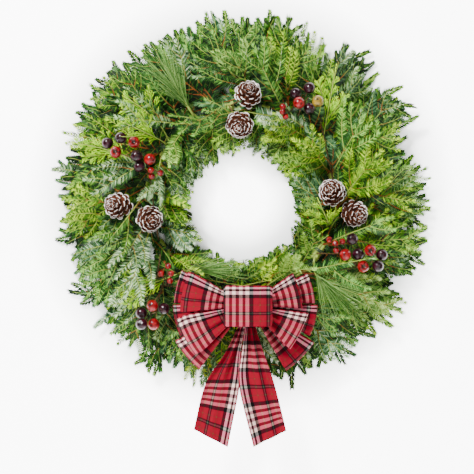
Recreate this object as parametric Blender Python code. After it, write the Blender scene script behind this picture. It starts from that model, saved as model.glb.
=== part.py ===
"""A fraser fir wreath, hung by its wire ring: clamped fir bunches with sprays of cedar and white pine,
six pine cones, picks of berries and a tartan bow. Its front looks along -Y, and the wall is behind it."""

import math
import random

import bmesh
import bpy
from mathutils import Matrix, Vector
from mathutils.bvhtree import BVHTree
from mathutils.geometry import intersect_point_line

MM = 0.001

# The ring: a hook carries it at the origin, under the top of its wire.
RING_RADIUS = 152.5 * MM
RING_WIRE = 1.9 * MM
WALL_GAP = 14 * MM
RING_STEPS = 32
RING_CENTRE = Vector((0, 0, RING_WIRE - RING_RADIUS))

# One clamp closes on the butt of each fir bunch.
BUNCHES = 16
CLAMP_STEP = 360 / BUNCHES
FIRST_CLAMP = CLAMP_STEP / 2
CLAMP_WIRE = 1.1 * MM
NECK_APOTHEM = 8 * MM
NECK_LENGTH = 32 * MM
SEAT_GAP = 0.35 * MM
NECK_DEPTH = WALL_GAP + RING_WIRE + SEAT_GAP + NECK_APOTHEM
PICK_TURNS = (-5, -3.6, -2.2)

# Fir twigs and their needles.
TWIG_RADIUS = 2.6 * MM
TWIG_TIP_RADIUS = 1.0 * MM
NEEDLE_LENGTH = 20 * MM
NEEDLE_WIDTH = 3 * MM
NEEDLE_RADIUS = 0.9 * MM
NEEDLE_PITCH = 23 * MM
NEEDLE_SLANT = 56
NEEDLE_GAP = 1.1 * MM
TWIG_GAP = 1.6 * MM

# Cedar fronds and white pine tufts.
CEDAR_PITCH = 12.5 * MM
CEDAR_BRANCHLET = 24 * MM
PINE_PITCH = 4.5 * MM
PINE_NEEDLE_LENGTH = 80 * MM

# Cones, berries and their wire picks.
CONE_RADIUS = 13 * MM
CONE_SPREAD = 10 * MM
CONE_HEIGHT = 40 * MM
CONE_SIDES = 7
CONE_TIERS = 5
PICK_RADIUS = 1.1 * MM
PICK_GAP = 0.8 * MM
BRANCH_STEP = 3.2 * MM
FRUIT_RADII = {"fruit": 9.4 * MM, "berry": 5 * MM}

# The bow, of 63.5 mm (2.5 inch) ribbon, its loops pinched against a bound gather.
RIBBON_WIDTH = 63.5 * MM
RIBBON_THICKNESS = 0.9 * MM
BOW_X = 10 * MM
BOW_Z = -170 * MM
GATHER_RADIUS = 8 * MM
GATHER_BACK = 70 * MM
GATHER_FRONT = 118 * MM
LOOP_ROOT = GATHER_RADIUS + SEAT_GAP

RANDOM = random.Random(24)

COLOURS = {
    "ring": ((0.16, 0.22, 0.15), 0.45, 0.8),
    "fir": ((0.09, 0.22, 0.06), 0.6, 0),
    "cedar": ((0.36, 0.50, 0.07), 0.6, 0),
    "pine": ((0.20, 0.33, 0.08), 0.55, 0),
    "cone": ((0.25, 0.12, 0.07), 0.75, 0),
    "red": ((0.62, 0.02, 0.02), 0.2, 0),
    "dark": ((0.07, 0.01, 0.02), 0.15, 0),
    "olive": ((0.30, 0.22, 0.03), 0.25, 0),
    "ribbon": ((0.55, 0.02, 0.03), 0.8, 0),
    "tie": ((0.10, 0.10, 0.09), 0.5, 0.6),
}


def material(name):
    found = bpy.data.materials.get(name)
    if found:
        return found
    colour, roughness, metallic = COLOURS[name]
    made = bpy.data.materials.new(name)
    made.use_nodes = True
    shader = made.node_tree.nodes["Principled BSDF"]
    shader.inputs["Base Color"].default_value = (*colour, 1)
    shader.inputs["Roughness"].default_value = roughness
    shader.inputs["Metallic"].default_value = metallic
    return made


def new_object(name, bm, colour):
    """An object of the finished bmesh, in plain triangles with its faces pointing out."""
    bmesh.ops.triangulate(bm, faces=bm.faces)
    bmesh.ops.recalc_face_normals(bm, faces=bm.faces)
    mesh = bpy.data.meshes.new(name)
    bm.to_mesh(mesh)
    bm.free()
    mesh.materials.append(material(colour))
    made = bpy.data.objects.new(name, mesh)
    bpy.context.scene.collection.objects.link(made)
    return made


def join(base, pieces, solver="EXACT"):
    """Joins the pieces into the base with one Boolean union, and removes them."""
    group = bpy.data.collections.new(base.name + "_pieces")
    bpy.context.scene.collection.children.link(group)
    for piece in pieces:
        bpy.context.scene.collection.objects.unlink(piece)
        group.objects.link(piece)
    union = base.modifiers.new("union", "BOOLEAN")
    union.operation = "UNION"
    union.operand_type = "COLLECTION"
    union.collection = group
    union.solver = solver
    bpy.context.view_layer.update()
    graph = bpy.context.evaluated_depsgraph_get()
    mesh = bpy.data.meshes.new_from_object(base.evaluated_get(graph))
    base.modifiers.remove(union)
    base.data = mesh
    for piece in pieces:
        bpy.data.objects.remove(piece)
    bpy.data.collections.remove(group)
    return base


def place(angle, radius, depth):
    """The point at this angle round the ring, this far from its centre and in front of the wall."""
    turn = math.radians(angle)
    return RING_CENTRE + Vector((radius * math.cos(turn), WALL_GAP - depth, radius * math.sin(turn)))


def flat_place(x, z, depth):
    """The point at x across and z above the ring's centre."""
    return RING_CENTRE + Vector((x, WALL_GAP - depth, z))


def clamp_angle(index):
    return FIRST_CLAMP + CLAMP_STEP * index


def tangent_at(angle):
    turn = math.radians(angle)
    return Vector((-math.sin(turn), 0, math.cos(turn)))


def radial_at(angle):
    turn = math.radians(angle)
    return Vector((math.cos(turn), 0, math.sin(turn)))


FORWARD = Vector((0, -1, 0))


# What is placed already, so that the next piece is bent clear of it.


class Placed:
    def __init__(self):
        self.trees = []
        self.bars = []

    def add_object(self, made):
        graph = bpy.context.evaluated_depsgraph_get()
        self.trees.append(BVHTree.FromObject(made, graph))

    def add_bar(self, start, end, radius, owner, node=None):
        self.bars.append((start, end, radius, {owner, node or owner}))

    def near_solid(self, start, end, reach):
        along = end - start
        steps = max(2, math.ceil(along.length / (2.5 * MM)))
        for step in range(steps + 1):
            point = start + along * (step / steps)
            for tree in self.trees:
                if tree.find_nearest(point, reach)[0] is not None:
                    return True
        return False

    def is_free(self, start, end, radius, gap, friends=(), solids=True):
        """Whether a bar stays the gap away from every solid and from all bars but its friends."""
        middle = (start + end) / 2
        half = (end - start).length / 2
        for other_start, other_end, other_radius, owners in self.bars:
            if owners & set(friends):
                continue
            reach = radius + other_radius + gap
            other_half = (other_end - other_start).length / 2
            if ((other_start + other_end) / 2 - middle).length > half + other_half + reach:
                continue
            if bar_distance(start, end, other_start, other_end) < reach:
                return False
        return not (solids and self.near_solid(start, end, radius + gap))


def bar_distance(a, b, c, d):
    """The distance between the lines from a to b and from c to d."""
    first, second, across = b - a, d - c, a - c
    aa, bb = first.dot(first), second.dot(second)
    ab, ac, bc = first.dot(second), first.dot(across), second.dot(across)
    spread = aa * bb - ab * ab
    s = 0.0 if spread < 1e-14 else min(1, max(0, (ab * bc - ac * bb) / spread))
    t = min(1, max(0, (ab * s + bc) / bb))
    s = min(1, max(0, (ab * t - ac) / aa))
    return (a + first * s - c - second * t).length


PLACED = Placed()
NECKS = [f"neck_{index}" for index in range(BUNCHES)]


# Stems: three-sided, drawn from ring to ring, with needles poked out of their side faces.


class Stem:
    """A stem that bends from its root past a control point to its tip, and faces along face."""

    def __init__(self, node, root, control, tip, face, radius, parent=None):
        self.node, self.root, self.control, self.tip = node, root, control, tip
        self.side, self.radius, self.parent = (tip - root).cross(face).normalized(), radius, parent
        self.length = sum((self.at((k + 1) / 8) - self.at(k / 8)).length for k in range(8))
        self.needles = []
        self.foot = []

    def at(self, t):
        return self.root * (1 - t) ** 2 + self.control * (2 * t * (1 - t)) + self.tip * t * t

    def tangent(self, t):
        return ((self.control - self.root) * (1 - t) + (self.tip - self.control) * t).normalized()

    def axes(self, t):
        """Along the stem, to its side, and out of its face."""
        along = self.tangent(t)
        side = (self.side - along * self.side.dot(along)).normalized()
        return along, side, side.cross(along)

    def radius_at(self, t):
        return self.radius + (TWIG_TIP_RADIUS - self.radius) * t

    def bars(self):
        marks = [k / 5 for k in range(6)]
        for start, end in zip(marks, marks[1:]):
            yield self.at(start), self.at(end), self.radius_at(start)

    def ring(self, t):
        """The three corners of the stem at t: right and left of its face, and behind it."""
        _, side, out = self.axes(t)
        radius = self.radius_at(t)
        turns = (math.radians(30), math.radians(150), math.radians(270))
        return [self.at(t) + (side * math.cos(a) + out * math.sin(a)) * radius for a in turns]


def settle(stem, rooted=True):
    """Keeps the stem if it is clear, and says whether it was kept. A rooted stem starts inside its neck."""
    friends = {id(stem.parent)} if stem.parent else set()
    bars = list(stem.bars())
    if not PLACED.is_free(*bars[0], TWIG_GAP, friends | {stem.node} | set(NECKS), not rooted):
        return False
    for start, end, radius in bars[1:]:
        if not PLACED.is_free(start, end, radius, TWIG_GAP, friends):
            return False
    for start, end, radius in bars:
        PLACED.add_bar(start, end, radius, id(stem), stem.node)
    return True


def settle_near(make, turns=(0, 3, -3, 6, -6, 9, -9), lifts=(0, 8, -7, 15, -13)):
    """The first stem that make(turn, lift) gives and that is clear, or None."""
    for lift in lifts:
        for turn in turns:
            stem = make(turn, lift * MM)
            if settle(stem):
                return stem
    return None


def grow_needles(stem, bare, pitch, length, slant, face_needles=True, radius=NEEDLE_RADIUS):
    """Marks the needles of a stem where they fit: at every pitch one to each side and one out of its face."""
    friends = {id(stem)}
    t = bare / stem.length
    while t * stem.length + NEEDLE_WIDTH < stem.length - 0.4 * pitch:
        middle = t + NEEDLE_WIDTH / 2 / stem.length
        along, side, out = stem.axes(middle)
        centre = stem.at(middle)
        found = {}
        ways = {1: side, -1: -side}
        if face_needles:
            ways[0] = out
        for key, way in ways.items():
            turn = math.radians(slant + RANDOM.uniform(-6, 6))
            reach = length * RANDOM.uniform(0.85, 1.05) * (1 - 0.35 * middle**3)
            for lean, share in ((0.12, 1), (0.5, 1), (0.1, 0.7), (0.7, 0.7)):
                aside = (way + out * lean).normalized() if key else way
                ahead = along * math.cos(turn) + aside * math.sin(turn)
                if key == 0:
                    ahead = along * 0.75 + out * 0.66
                root = centre + ahead.normalized() * stem.radius_at(middle)
                tip = centre + ahead.normalized() * reach * share
                if PLACED.is_free(root, tip, radius, NEEDLE_GAP, friends):
                    found[key] = tip
                    PLACED.add_bar(root, tip, radius, id(stem), stem.node)
                    break
        if found:
            stem.needles.append((t, t + NEEDLE_WIDTH / stem.length, found))
        t += pitch / stem.length


def build_stem(name, stem, colour):
    """The solid of a stem and its needles."""
    marks = [0.0]
    needles_after = {}
    for start, end, found in stem.needles:
        marks += [start, end]
        needles_after[len(marks) - 2] = found
    if len(marks) == 1:
        marks.append(0.5)
    bm = bmesh.new()
    bmesh.ops.create_circle(bm, cap_ends=True, segments=3, radius=1)
    corners = stem.ring(marks[0])
    for vert, corner in zip(bm.verts, corners):
        vert.co = corner
    bm.faces.ensure_lookup_table()
    cap = bm.faces[0]
    poked = []
    for index, mark in enumerate(marks[1:]):
        grown = bmesh.ops.extrude_face_region(bm, geom=[cap])["geom"]
        if index:
            bmesh.ops.delete(bm, geom=[cap], context="FACES_ONLY")
        cap = next(item for item in grown if isinstance(item, bmesh.types.BMFace))
        moved = stem.ring(mark)
        order = {v: min(range(3), key=lambda k: (v.co - corners[k]).length) for v in cap.verts}
        for vert, corner in order.items():
            vert.co = moved[corner]
        corners = moved
        for edge in cap.edges:
            wall = next(f for f in edge.link_faces if f != cap)
            pair = {order[v] for v in edge.verts}
            key = 0 if pair == {0, 1} else (1 if 0 in pair else -1)
            tip = needles_after.get(index, {}).get(key)
            if tip is not None:
                poked.append((wall, tip))
    poked.append((cap, stem.tip))
    for wall, tip in poked:
        centre = bmesh.ops.poke(bm, faces=[wall])["verts"][0]
        centre.co = tip
    return new_object(name, bm, colour)


# The ring and its clamps.


def bar_between(name, points, radius, sides, colour, closed=False):
    """A bar of this many sides along the points."""
    bm = bmesh.new()
    count = len(points)
    rings = []
    for k, point in enumerate(points):
        before = points[k - 1] if k or closed else point
        after = points[(k + 1) % count] if k + 1 < count or closed else point
        along = (after - before).normalized()
        side = along.cross(FORWARD)
        side = side.normalized() if side.length > 1e-3 else Vector((1, 0, 0))
        matrix = Matrix.Translation(point) @ Matrix((side, along.cross(side), along)).transposed().to_4x4()
        made = bmesh.ops.create_circle(
            bm, cap_ends=not closed and k in (0, count - 1), segments=sides, radius=radius, matrix=matrix
        )
        rings.append(list({e for v in made["verts"] for e in v.link_edges}))
    pairs = list(zip(rings, rings[1:])) + ([(rings[-1], rings[0])] if closed else [])
    for first, second in pairs:
        bmesh.ops.bridge_loops(bm, edges=first + second)
    return new_object(name, bm, colour)


def wire_ring():
    points = [place(360 * k / RING_STEPS, RING_RADIUS, WALL_GAP) for k in range(RING_STEPS)]
    ring = bar_between("wire_ring", points, RING_WIRE, 5, "ring", closed=True)
    clamps = []
    reach = (NECK_APOTHEM + SEAT_GAP + CLAMP_WIRE * 1.2) / math.cos(math.pi / 6)
    for index in range(BUNCHES):
        angle = clamp_angle(index)
        centre = place(angle, RING_RADIUS, NECK_DEPTH)
        loop = []
        for k in range(6):
            turn = math.radians(60 * k)
            loop.append(centre + radial_at(angle) * math.cos(turn) * reach + FORWARD * math.sin(turn) * reach)
        clamps.append(closed_loop(f"clamp_{index}", loop, tangent_at(angle)))
    return join(ring, clamps)


def closed_loop(name, points, axis):
    """A closed loop of clamp wire round the axis, three-sided, with a flat side against the butts."""
    bm = bmesh.new()
    centre = sum(points, Vector()) / len(points)
    rings = []
    for point in points:
        out = (point - centre).normalized()
        side = out.cross(axis)
        turned = Matrix.Translation(point) @ Matrix((axis, out, side)).transposed().to_4x4()
        made = bmesh.ops.create_circle(bm, segments=3, radius=CLAMP_WIRE * 1.3, matrix=turned)
        rings.append(list({edge for vert in made["verts"] for edge in vert.link_edges}))
    for first, second in zip(rings, rings[1:] + rings[:1]):
        bmesh.ops.bridge_loops(bm, edges=first + second)
    return new_object(name, bm, "ring")


def neck(index, name):
    """The cut butts of a bunch, gathered in its clamp: a six-sided bar along the ring."""
    angle = clamp_angle(index)
    along = tangent_at(angle)
    centre = place(angle, RING_RADIUS, NECK_DEPTH)
    bm = bmesh.new()
    basis = Matrix((radial_at(angle), FORWARD, along)).transposed().to_4x4()
    corner = NECK_APOTHEM / math.cos(math.pi / 6)
    bmesh.ops.create_cone(
        bm,
        cap_ends=True,
        segments=6,
        radius1=corner * 0.92,
        radius2=corner,
        depth=NECK_LENGTH,
        matrix=Matrix.Translation(centre) @ basis @ Matrix.Rotation(math.radians(30), 4, "Z"),
    )
    return new_object(name, bm, "fir")


# Fir bunches. Each twig is given by its name, its control point and its tip, as degrees past the clamp,
# millimetres from the ring's centre and millimetres in front of the wall, and its bare length in millimetres.
MAIN_TWIGS = (
    ("outer", (12, 190, 44), (21, 296, 46), 44),
    ("inner", (13, 128, 36), (25, 96, 44), 34),
    ("front", (15, 168, 84), (31, 238, 96), 44),
    ("back", (6, 196, 14), (10, 290, 15), 40),
    ("crown", (17, 138, 84), (31, 142, 90), 44),
)
LATERALS = ((0.42, 44, 76), (0.52, -42, 70))

# How far the outer and the inner twig of each bunch reach from the ring's centre, in millimetres.
OUTER_REACH = (291, 298, 300, 302, 284, 302, 304, 282, 300, 298, 310, 300, 306, 316, 302, 300)
INNER_REACH = (84, 92, 86, 86, 76, 66, 98, 94, 98, 102, 106, 106, 100, 98, 100, 88)


def fir_twigs(index):
    """The main twigs of one bunch, bent clear of what is there."""
    name = f"fir_bunch_{index + 1:02d}"
    start = clamp_angle(index)
    twigs = []
    for label, control, tip, bare in MAIN_TWIGS:
        root_shift = {"outer": 3, "inner": -4, "front": 0, "back": 4, "crown": -2}[label] * MM
        reach = {"outer": OUTER_REACH[index] - 296, "inner": INNER_REACH[index] - 96}.get(label)
        reach = RANDOM.uniform(-8, 6) if reach is None else reach
        swing = RANDOM.uniform(-2, 2)

        def make(turn, lift, control=control, tip=tip, root_shift=root_shift, reach=reach, swing=swing):
            root = place(start + 3.4, RING_RADIUS + root_shift, NECK_DEPTH + 0.2 * root_shift)
            bend = place(start + control[0] + turn / 2, control[1] * MM, control[2] * MM + lift / 2)
            depth = max(tip[2] * MM + lift, 9 * MM)
            end = place(start + tip[0] + turn + swing, (tip[1] + reach) * MM, depth)
            return Stem(name, root, bend, end, FORWARD, TWIG_RADIUS)

        twig = settle_near(make)
        if twig:
            twigs.append((label, twig, bare * MM))
        else:
            print("no room for", name, label)
    return twigs


def lateral_twigs(index, twigs):
    """Two side twigs on the outer twig of a bunch."""
    found = []
    for label, main, _ in twigs:
        if label != "outer":
            continue
        for share, angle, length in LATERALS:

            def make(turn, lift, main=main, share=share, angle=angle, length=length):
                root = main.at(share)
                along, side, _ = main.axes(share)
                turned = math.radians(angle + turn)
                ahead = along * math.cos(turned) - side * math.sin(turned)
                inward = along * math.cos(turned * 0.8) - side * math.sin(turned * 0.8)
                end = root + (ahead * 0.45 + inward * 0.55) * length * MM + FORWARD * lift
                return Stem(main.node, root, root + ahead * length * MM / 2, end, FORWARD, 2.0 * MM, main)

            twig = settle_near(make)
            if twig:
                found.append(("lateral", twig, 9 * MM))
    return found


def build_bunch(index, twigs):
    name = f"fir_bunch_{index + 1:02d}"
    base = neck(index, name)
    pieces = [build_stem(f"{name}_{k}", twig, "fir") for k, (_, twig, _) in enumerate(twigs)]
    return join(base, pieces, "MANIFOLD")


# Seats: a wire pick or a stem ends just in front of the butts in a clamp, where no twig leaves them.


def seats_near(point):
    """Free places on the necks, the nearest first."""
    flat = point - RING_CENTRE
    angle = math.degrees(math.atan2(flat.z, flat.x))
    nearest = round((angle - FIRST_CLAMP) / CLAMP_STEP)
    found = []
    for index in range(nearest - 2, nearest + 3):
        for turn in PICK_TURNS:
            radius = RING_RADIUS / math.cos(math.radians(turn))
            depth = NECK_DEPTH + NECK_APOTHEM + SEAT_GAP
            found.append(place(clamp_angle(index) + turn, radius, depth))
    return sorted(found, key=lambda seat: (seat - point).length)


def clear_seat(point, radius, owner):
    """The nearest seat with a clear way to this point, which it then keeps, and the bend before it."""
    for seat in seats_near(point):
        bend = seat + FORWARD * 4 * MM
        if PLACED.is_free(bend, point, radius, PICK_GAP, {owner}):
            PLACED.add_bar(seat, bend, radius, owner)
            PLACED.add_bar(bend, point, radius, owner)
            return [seat, bend]
    raise ValueError(f"no clear seat for {owner}")


# Pine cones, end-on to the front: x, z and depth of the base, then the tilt of the tip to x and z.
CONES = (
    ("pine_cone_1", (10, 165, 58), (0.10, 0.30)),
    ("pine_cone_2", (-3, 119, 62), (-0.05, -0.25)),
    ("pine_cone_3", (-197, -13, 58), (-0.30, 0.05)),
    ("pine_cone_4", (-149, -33, 62), (0.25, -0.10)),
    ("pine_cone_5", (147, 8, 62), (-0.20, 0.15)),
    ("pine_cone_6", (180, -24, 58), (0.25, -0.15)),
)


def cone_ring(bm, height, radius, turn):
    matrix = Matrix.Translation((0, 0, height)) @ Matrix.Rotation(turn, 4, "Z")
    made = bmesh.ops.create_circle(bm, segments=CONE_SIDES, radius=radius, matrix=matrix)
    return list({edge for vert in made["verts"] for edge in vert.link_edges})


def cone_body(name, base, tip):
    """A cone: the walls of its core are drawn out into scales, each tier half a step round."""
    bm = bmesh.new()
    step = math.pi / CONE_SIDES
    rings = []
    for tier in range(CONE_TIERS + 1):
        share = tier / CONE_TIERS
        radius = CONE_RADIUS * math.sqrt(max(0.08, 1 - share**1.6))
        rings.append(cone_ring(bm, CONE_HEIGHT * 0.86 * share, radius, step * tier))
    scales = []
    for tier, (lower, upper) in enumerate(zip(rings, rings[1:])):
        walls = bmesh.ops.bridge_loops(bm, edges=lower + upper)["faces"]
        scales.append((tier, walls))
    for ends in (rings[0], rings[-1]):
        bmesh.ops.contextual_create(bm, geom=ends)
    for tier, walls in scales:
        share = (tier + 0.5) / CONE_TIERS
        reach = CONE_SPREAD * (1 - 0.55 * share)
        pairs = {wall: wall.calc_center_median() for wall in walls if len(wall.verts) == 4}
        for wall, centre in pairs.items():
            out = Vector((centre.x, centre.y, 0)).normalized()
            end = bmesh.ops.extrude_discrete_faces(bm, faces=[wall])["faces"][0]
            for vert in end.verts:
                flat = vert.co - centre
                flat.z *= 0.35
                vert.co = centre + flat * 0.86 + out * reach + Vector((0, 0, reach * (0.25 + 0.5 * share)))
    axis = (tip - base).normalized()
    side = axis.cross(Vector((0, 0, 1))).normalized()
    basis = Matrix((side, axis.cross(side), axis)).transposed().to_4x4()
    bmesh.ops.transform(bm, matrix=Matrix.Translation(base) @ basis, verts=bm.verts)
    return new_object(name, bm, "cone")


def cone_and_pick(name, place_at, tilt):
    base = flat_place(*(v * MM for v in place_at))
    tip = base + (FORWARD + Vector((tilt[0], 0, tilt[1]))).normalized() * CONE_HEIGHT
    body = cone_body(name, base, tip)
    foot = base + (tip - base).normalized() * 5 * MM
    back = base - (tip - base).normalized() * 3 * MM
    start = clear_seat(back, PICK_RADIUS, name)
    pick = bar_between(name + "_pick", start + [back, foot], PICK_RADIUS, 4, "cone")
    made = join(body, [pick])
    PLACED.add_object(made)


# Fruits on wired stems: x, z and depth of each, in four clusters. A hip shows its hollow end.
FRUITS = (
    ("berries_1", "dark", "fruit", ((-214, 87, 84), (-192, 95, 92), (-167, 66, 94), (-163, 50, 84))),
    ("berries_1", "red", "fruit", ((-171, 88, 88), (-200, 72, 94), (-146, 61, 88))),
    ("berries_1", "red", "berry", ((-144, 43, 92), (-129, 39, 90), (-143, 34, 84))),
    ("berries_2", "dark", "fruit", ((108, 175, 86), (86, 166, 86), (108, 142, 86))),
    ("berries_2", "red", "fruit", ((91, 150, 98),)),
    ("berries_2", "red", "berry", ((66, 145, 88), (65, 136, 94), (70, 129, 88))),
    ("berries_2", "olive", "fruit", ((121, 153, 98),)),
    ("berries_3", "dark", "fruit", ((-124, -177, 84), (-160, -184, 84), (-159, -201, 94))),
    ("berries_3", "red", "fruit", ((-142, -172, 94), (-140, -202, 86))),
    ("berries_3", "red", "berry", ((-117, -109, 84), (-112, -121, 88), (-114, -133, 82), (-128, -121, 86))),
    ("berries_4", "dark", "fruit", ((176, -66, 92), (186, -90, 84), (224, -91, 84), (217, -109, 92))),
    ("berries_4", "red", "fruit", ((165, -91, 92), (205, -84, 90), (194, -110, 88))),
    ("berries_4", "red", "berry", ((140, -67, 88), (149, -73, 94), (161, -70, 84), (151, -84, 86))),
)


def fruit_nodes():
    """The fruits of each node, one node for each colour of a cluster."""
    nodes = {}
    for cluster, colour, kind, spots in FRUITS:
        for x, z, depth in spots:
            spot = (flat_place(x * MM, z * MM, depth * MM), FRUIT_RADII[kind])
            nodes.setdefault((cluster, colour), []).append(spot)
    return nodes


def fruit_solid(name, centre, radius, colour):
    """A round fruit that faces the front, with its blossom end drawn in."""
    bm = bmesh.new()
    turn = Matrix.Rotation(math.pi / 2, 4, "X") @ Matrix.Rotation(RANDOM.uniform(-0.35, 0.35), 4, "Y")
    if radius > 6 * MM:
        bmesh.ops.create_uvsphere(bm, u_segments=6, v_segments=4, radius=radius * 1.04)
        top = max(bm.verts, key=lambda vert: vert.co.z)
        top.co.z -= radius * 0.45
    else:
        bmesh.ops.create_icosphere(bm, subdivisions=1, radius=radius * 1.08)
    bmesh.ops.transform(bm, matrix=Matrix.Translation(centre) @ turn, verts=bm.verts)
    return new_object(name, bm, colour)


def branches(seat, hub, spots):
    """The stems to the fruits, the farthest from the hub itself and the others from points before it."""
    along = (hub - seat).normalized()
    ordered = sorted(spots, key=lambda spot: (spot[0] - hub).length, reverse=True)
    return [(hub - along * k * BRANCH_STEP, centre, radius) for k, (centre, radius) in enumerate(ordered)]


def stem_plan(owner, spots):
    """The start of the pick, its hub and the branches to the fruits, all clear of the other nodes."""
    middle = sum((centre for centre, _ in spots), Vector()) / len(spots)
    draws = random.Random(owner)
    for attempt in range(500):
        reach = 4 * MM + attempt * 0.08 * MM
        hub = middle + Vector((draws.uniform(-reach, reach), 0, draws.uniform(-reach, reach)))
        hub.y = WALL_GAP - draws.uniform(50, 70) * MM
        for seat in seats_near(hub):
            start = seat + FORWARD * 4 * MM
            found = branches(start, hub, spots)
            ways = [(start, hub)] + [(root, centre) for root, centre, _ in found]
            if all(PLACED.is_free(a, b, PICK_RADIUS, PICK_GAP, {owner}) for a, b in ways):
                return [seat, start], hub, found
    raise ValueError(f"no clear stems for {owner}")


def place_fruits():
    for (cluster, colour), spots in fruit_nodes().items():
        for centre, radius in spots:
            PLACED.add_bar(centre, centre + FORWARD * 0.1 * MM, radius, f"{cluster}_{colour}")


def build_fruits():
    for (cluster, colour), spots in fruit_nodes().items():
        name = f"{cluster}_{colour}"
        start, hub, found = stem_plan(name, spots)
        route = start + [hub, hub + (hub - start[1]).normalized() * 2 * MM]
        for first, second in zip(route, route[1:]):
            PLACED.add_bar(first, second, PICK_RADIUS, name)
        pieces = []
        for k, (root, centre, radius) in enumerate(found):
            PLACED.add_bar(root, centre, PICK_RADIUS, name)
            pieces.append(fruit_solid(f"{name}_{k}", centre, radius, colour))
            pieces.append(bar_between(f"{name}_stem_{k}", [root, centre], PICK_RADIUS * 0.9, 3, colour))
        join(bar_between(name, route, PICK_RADIUS, 4, colour), pieces)


# The bow's side loops: name, direction from the gather in degrees, length, middle depth, fullness and spread,
# the last as half the angle that the ribbon fans out by.
LOOPS = (
    ("bow_inner_loop_1", 168, 105, 112, 30, 18),
    ("bow_inner_loop_2", 207, 112, 112, 30, 18),
    ("bow_inner_loop_3", 16, 84, 112, 30, 19),
    ("bow_inner_loop_4", -27, 93, 112, 30, 19),
    ("bow_outer_loop_1", 166, 117, 80, 24, 13),
    ("bow_outer_loop_2", 193, 119, 80, 24, 12.5),
    ("bow_outer_loop_3", 220, 129, 80, 24, 13),
    ("bow_outer_loop_4", 14, 107, 80, 24, 13),
    ("bow_outer_loop_5", -14, 111, 80, 24, 13),
    ("bow_outer_loop_6", -45, 121, 80, 24, 15),
)
LOOP_STEPS = 10
CENTRE_LOOP = {"half": 41 * MM, "front": 151 * MM, "steps": 12}
# Each tail: across and up from the gather, depth and width of three stations, then its two cut corners.
TAILS = (
    (
        "bow_tail_1",
        ((-1.5, -8.4, 96, 4), (-22, -72, 98, 22), (-40, -126, 96, 54)),
        ((-86, -199, 90), (-32, -227, 90)),
    ),
    (
        "bow_tail_2",
        ((1.5, -8.4, 101, 4), (7, -72, 105, 33), (14, -126, 103, 56)),
        ((9, -226, 96), (61, -200, 96)),
    ),
)


def bow_place(x, z, depth):
    return flat_place(BOW_X + x, BOW_Z + z, depth)


def ribbon(name, edges):
    """A strip of ribbon through pairs of edge points, given its thickness by Solidify."""
    bm = bmesh.new()
    first = [bm.verts.new(point) for point in edges[0]]
    edge = bm.edges.new(first)
    pair = first
    for points in edges[1:]:
        grown = bmesh.ops.extrude_edge_only(bm, edges=[edge])["geom"]
        edge = next(item for item in grown if isinstance(item, bmesh.types.BMEdge) and item.is_boundary
                    and not set(item.verts) & set(pair))
        ends = sorted(edge.verts, key=lambda vert: (vert.co - pair[0].co).length)
        for vert, point in zip(ends, points):
            vert.co = point
        pair = ends
    made = new_object(name, bm, "ribbon")
    solid = made.modifiers.new("thickness", "SOLIDIFY")
    solid.thickness = RIBBON_THICKNESS
    solid.offset = 0
    return made


def side_loop(name, direction, length, middle, fullness, spread):
    turn = math.radians(direction)
    out = Vector((math.cos(turn), 0, math.sin(turn)))
    across = Vector((-math.sin(turn), 0, math.cos(turn)))
    edges = []
    for k in range(LOOP_STEPS + 1):
        t = math.pi * k / LOOP_STEPS
        swell = math.sin(t) ** 0.7 if 0 < k < LOOP_STEPS else 0
        radius = LOOP_ROOT + (length * MM - LOOP_ROOT) * swell
        depth = middle * MM + fullness / 2 * MM * math.cos(t) * (0.25 + 0.75 * swell)
        half = min(RIBBON_WIDTH / 2, radius * math.tan(math.radians(spread)))
        centre = bow_place(0, 0, depth) + out * radius
        edges.append((centre - across * half, centre + across * half))
    return ribbon(name, edges)


def centre_loop():
    """The small loop over the gather, open above and below."""
    edges = []
    back = GATHER_FRONT + SEAT_GAP + RIBBON_THICKNESS / 2
    steps = CENTRE_LOOP["steps"]
    for k in range(steps + 1):
        t = 2 * math.pi * k / steps
        x = -CENTRE_LOOP["half"] * math.sin(t) * (1 + 0.12 * math.cos(2 * t))
        if k in (0, steps):
            x = (-1.4 if k == 0 else 1.4) * MM
        depth = back + (CENTRE_LOOP["front"] - back) * ((1 - math.cos(t)) / 2) ** 0.75
        half = RIBBON_WIDTH / 2 * min(1, 0.22 + 0.95 * ((1 - math.cos(t)) / 2) ** 0.6)
        edges.append((bow_place(x, -half, depth), bow_place(x, half, depth)))
    return ribbon("bow_centre_loop", edges)


def tail(name, stations, corners):
    edges = []
    for x, z, depth, width in stations:
        ends = (x - width / 2, x + width / 2)
        edges.append(tuple(bow_place(end * MM, z * MM, depth * MM) for end in ends))
    edges.append(tuple(bow_place(*(v * MM for v in corner)) for corner in corners))
    return ribbon(name, edges)


def build_bow():
    bm = bmesh.new()
    middle = bow_place(0, 0, (GATHER_BACK + GATHER_FRONT) / 2)
    matrix = Matrix.Translation(middle) @ Matrix.Rotation(math.pi / 2, 4, "X")
    length = GATHER_FRONT - GATHER_BACK
    bmesh.ops.create_cone(
        bm,
        cap_ends=True,
        segments=12,
        radius1=GATHER_RADIUS,
        radius2=GATHER_RADIUS,
        depth=length,
        matrix=matrix,
    )
    made = [new_object("bow_gather", bm, "ribbon"), centre_loop()]
    made += [side_loop(*loop) for loop in LOOPS]
    made += [tail(*entry) for entry in TAILS]
    bpy.context.view_layer.update()
    for piece in made:
        PLACED.add_object(piece)
    back = bow_place(0, 0, GATHER_BACK - SEAT_GAP)
    behind = back - FORWARD * 3 * MM
    start = clear_seat(behind, 1.4 * MM, "bow_tie_wire")
    bar_between("bow_tie_wire", start + [behind, back], 1.4 * MM, 6, "tie")


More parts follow.
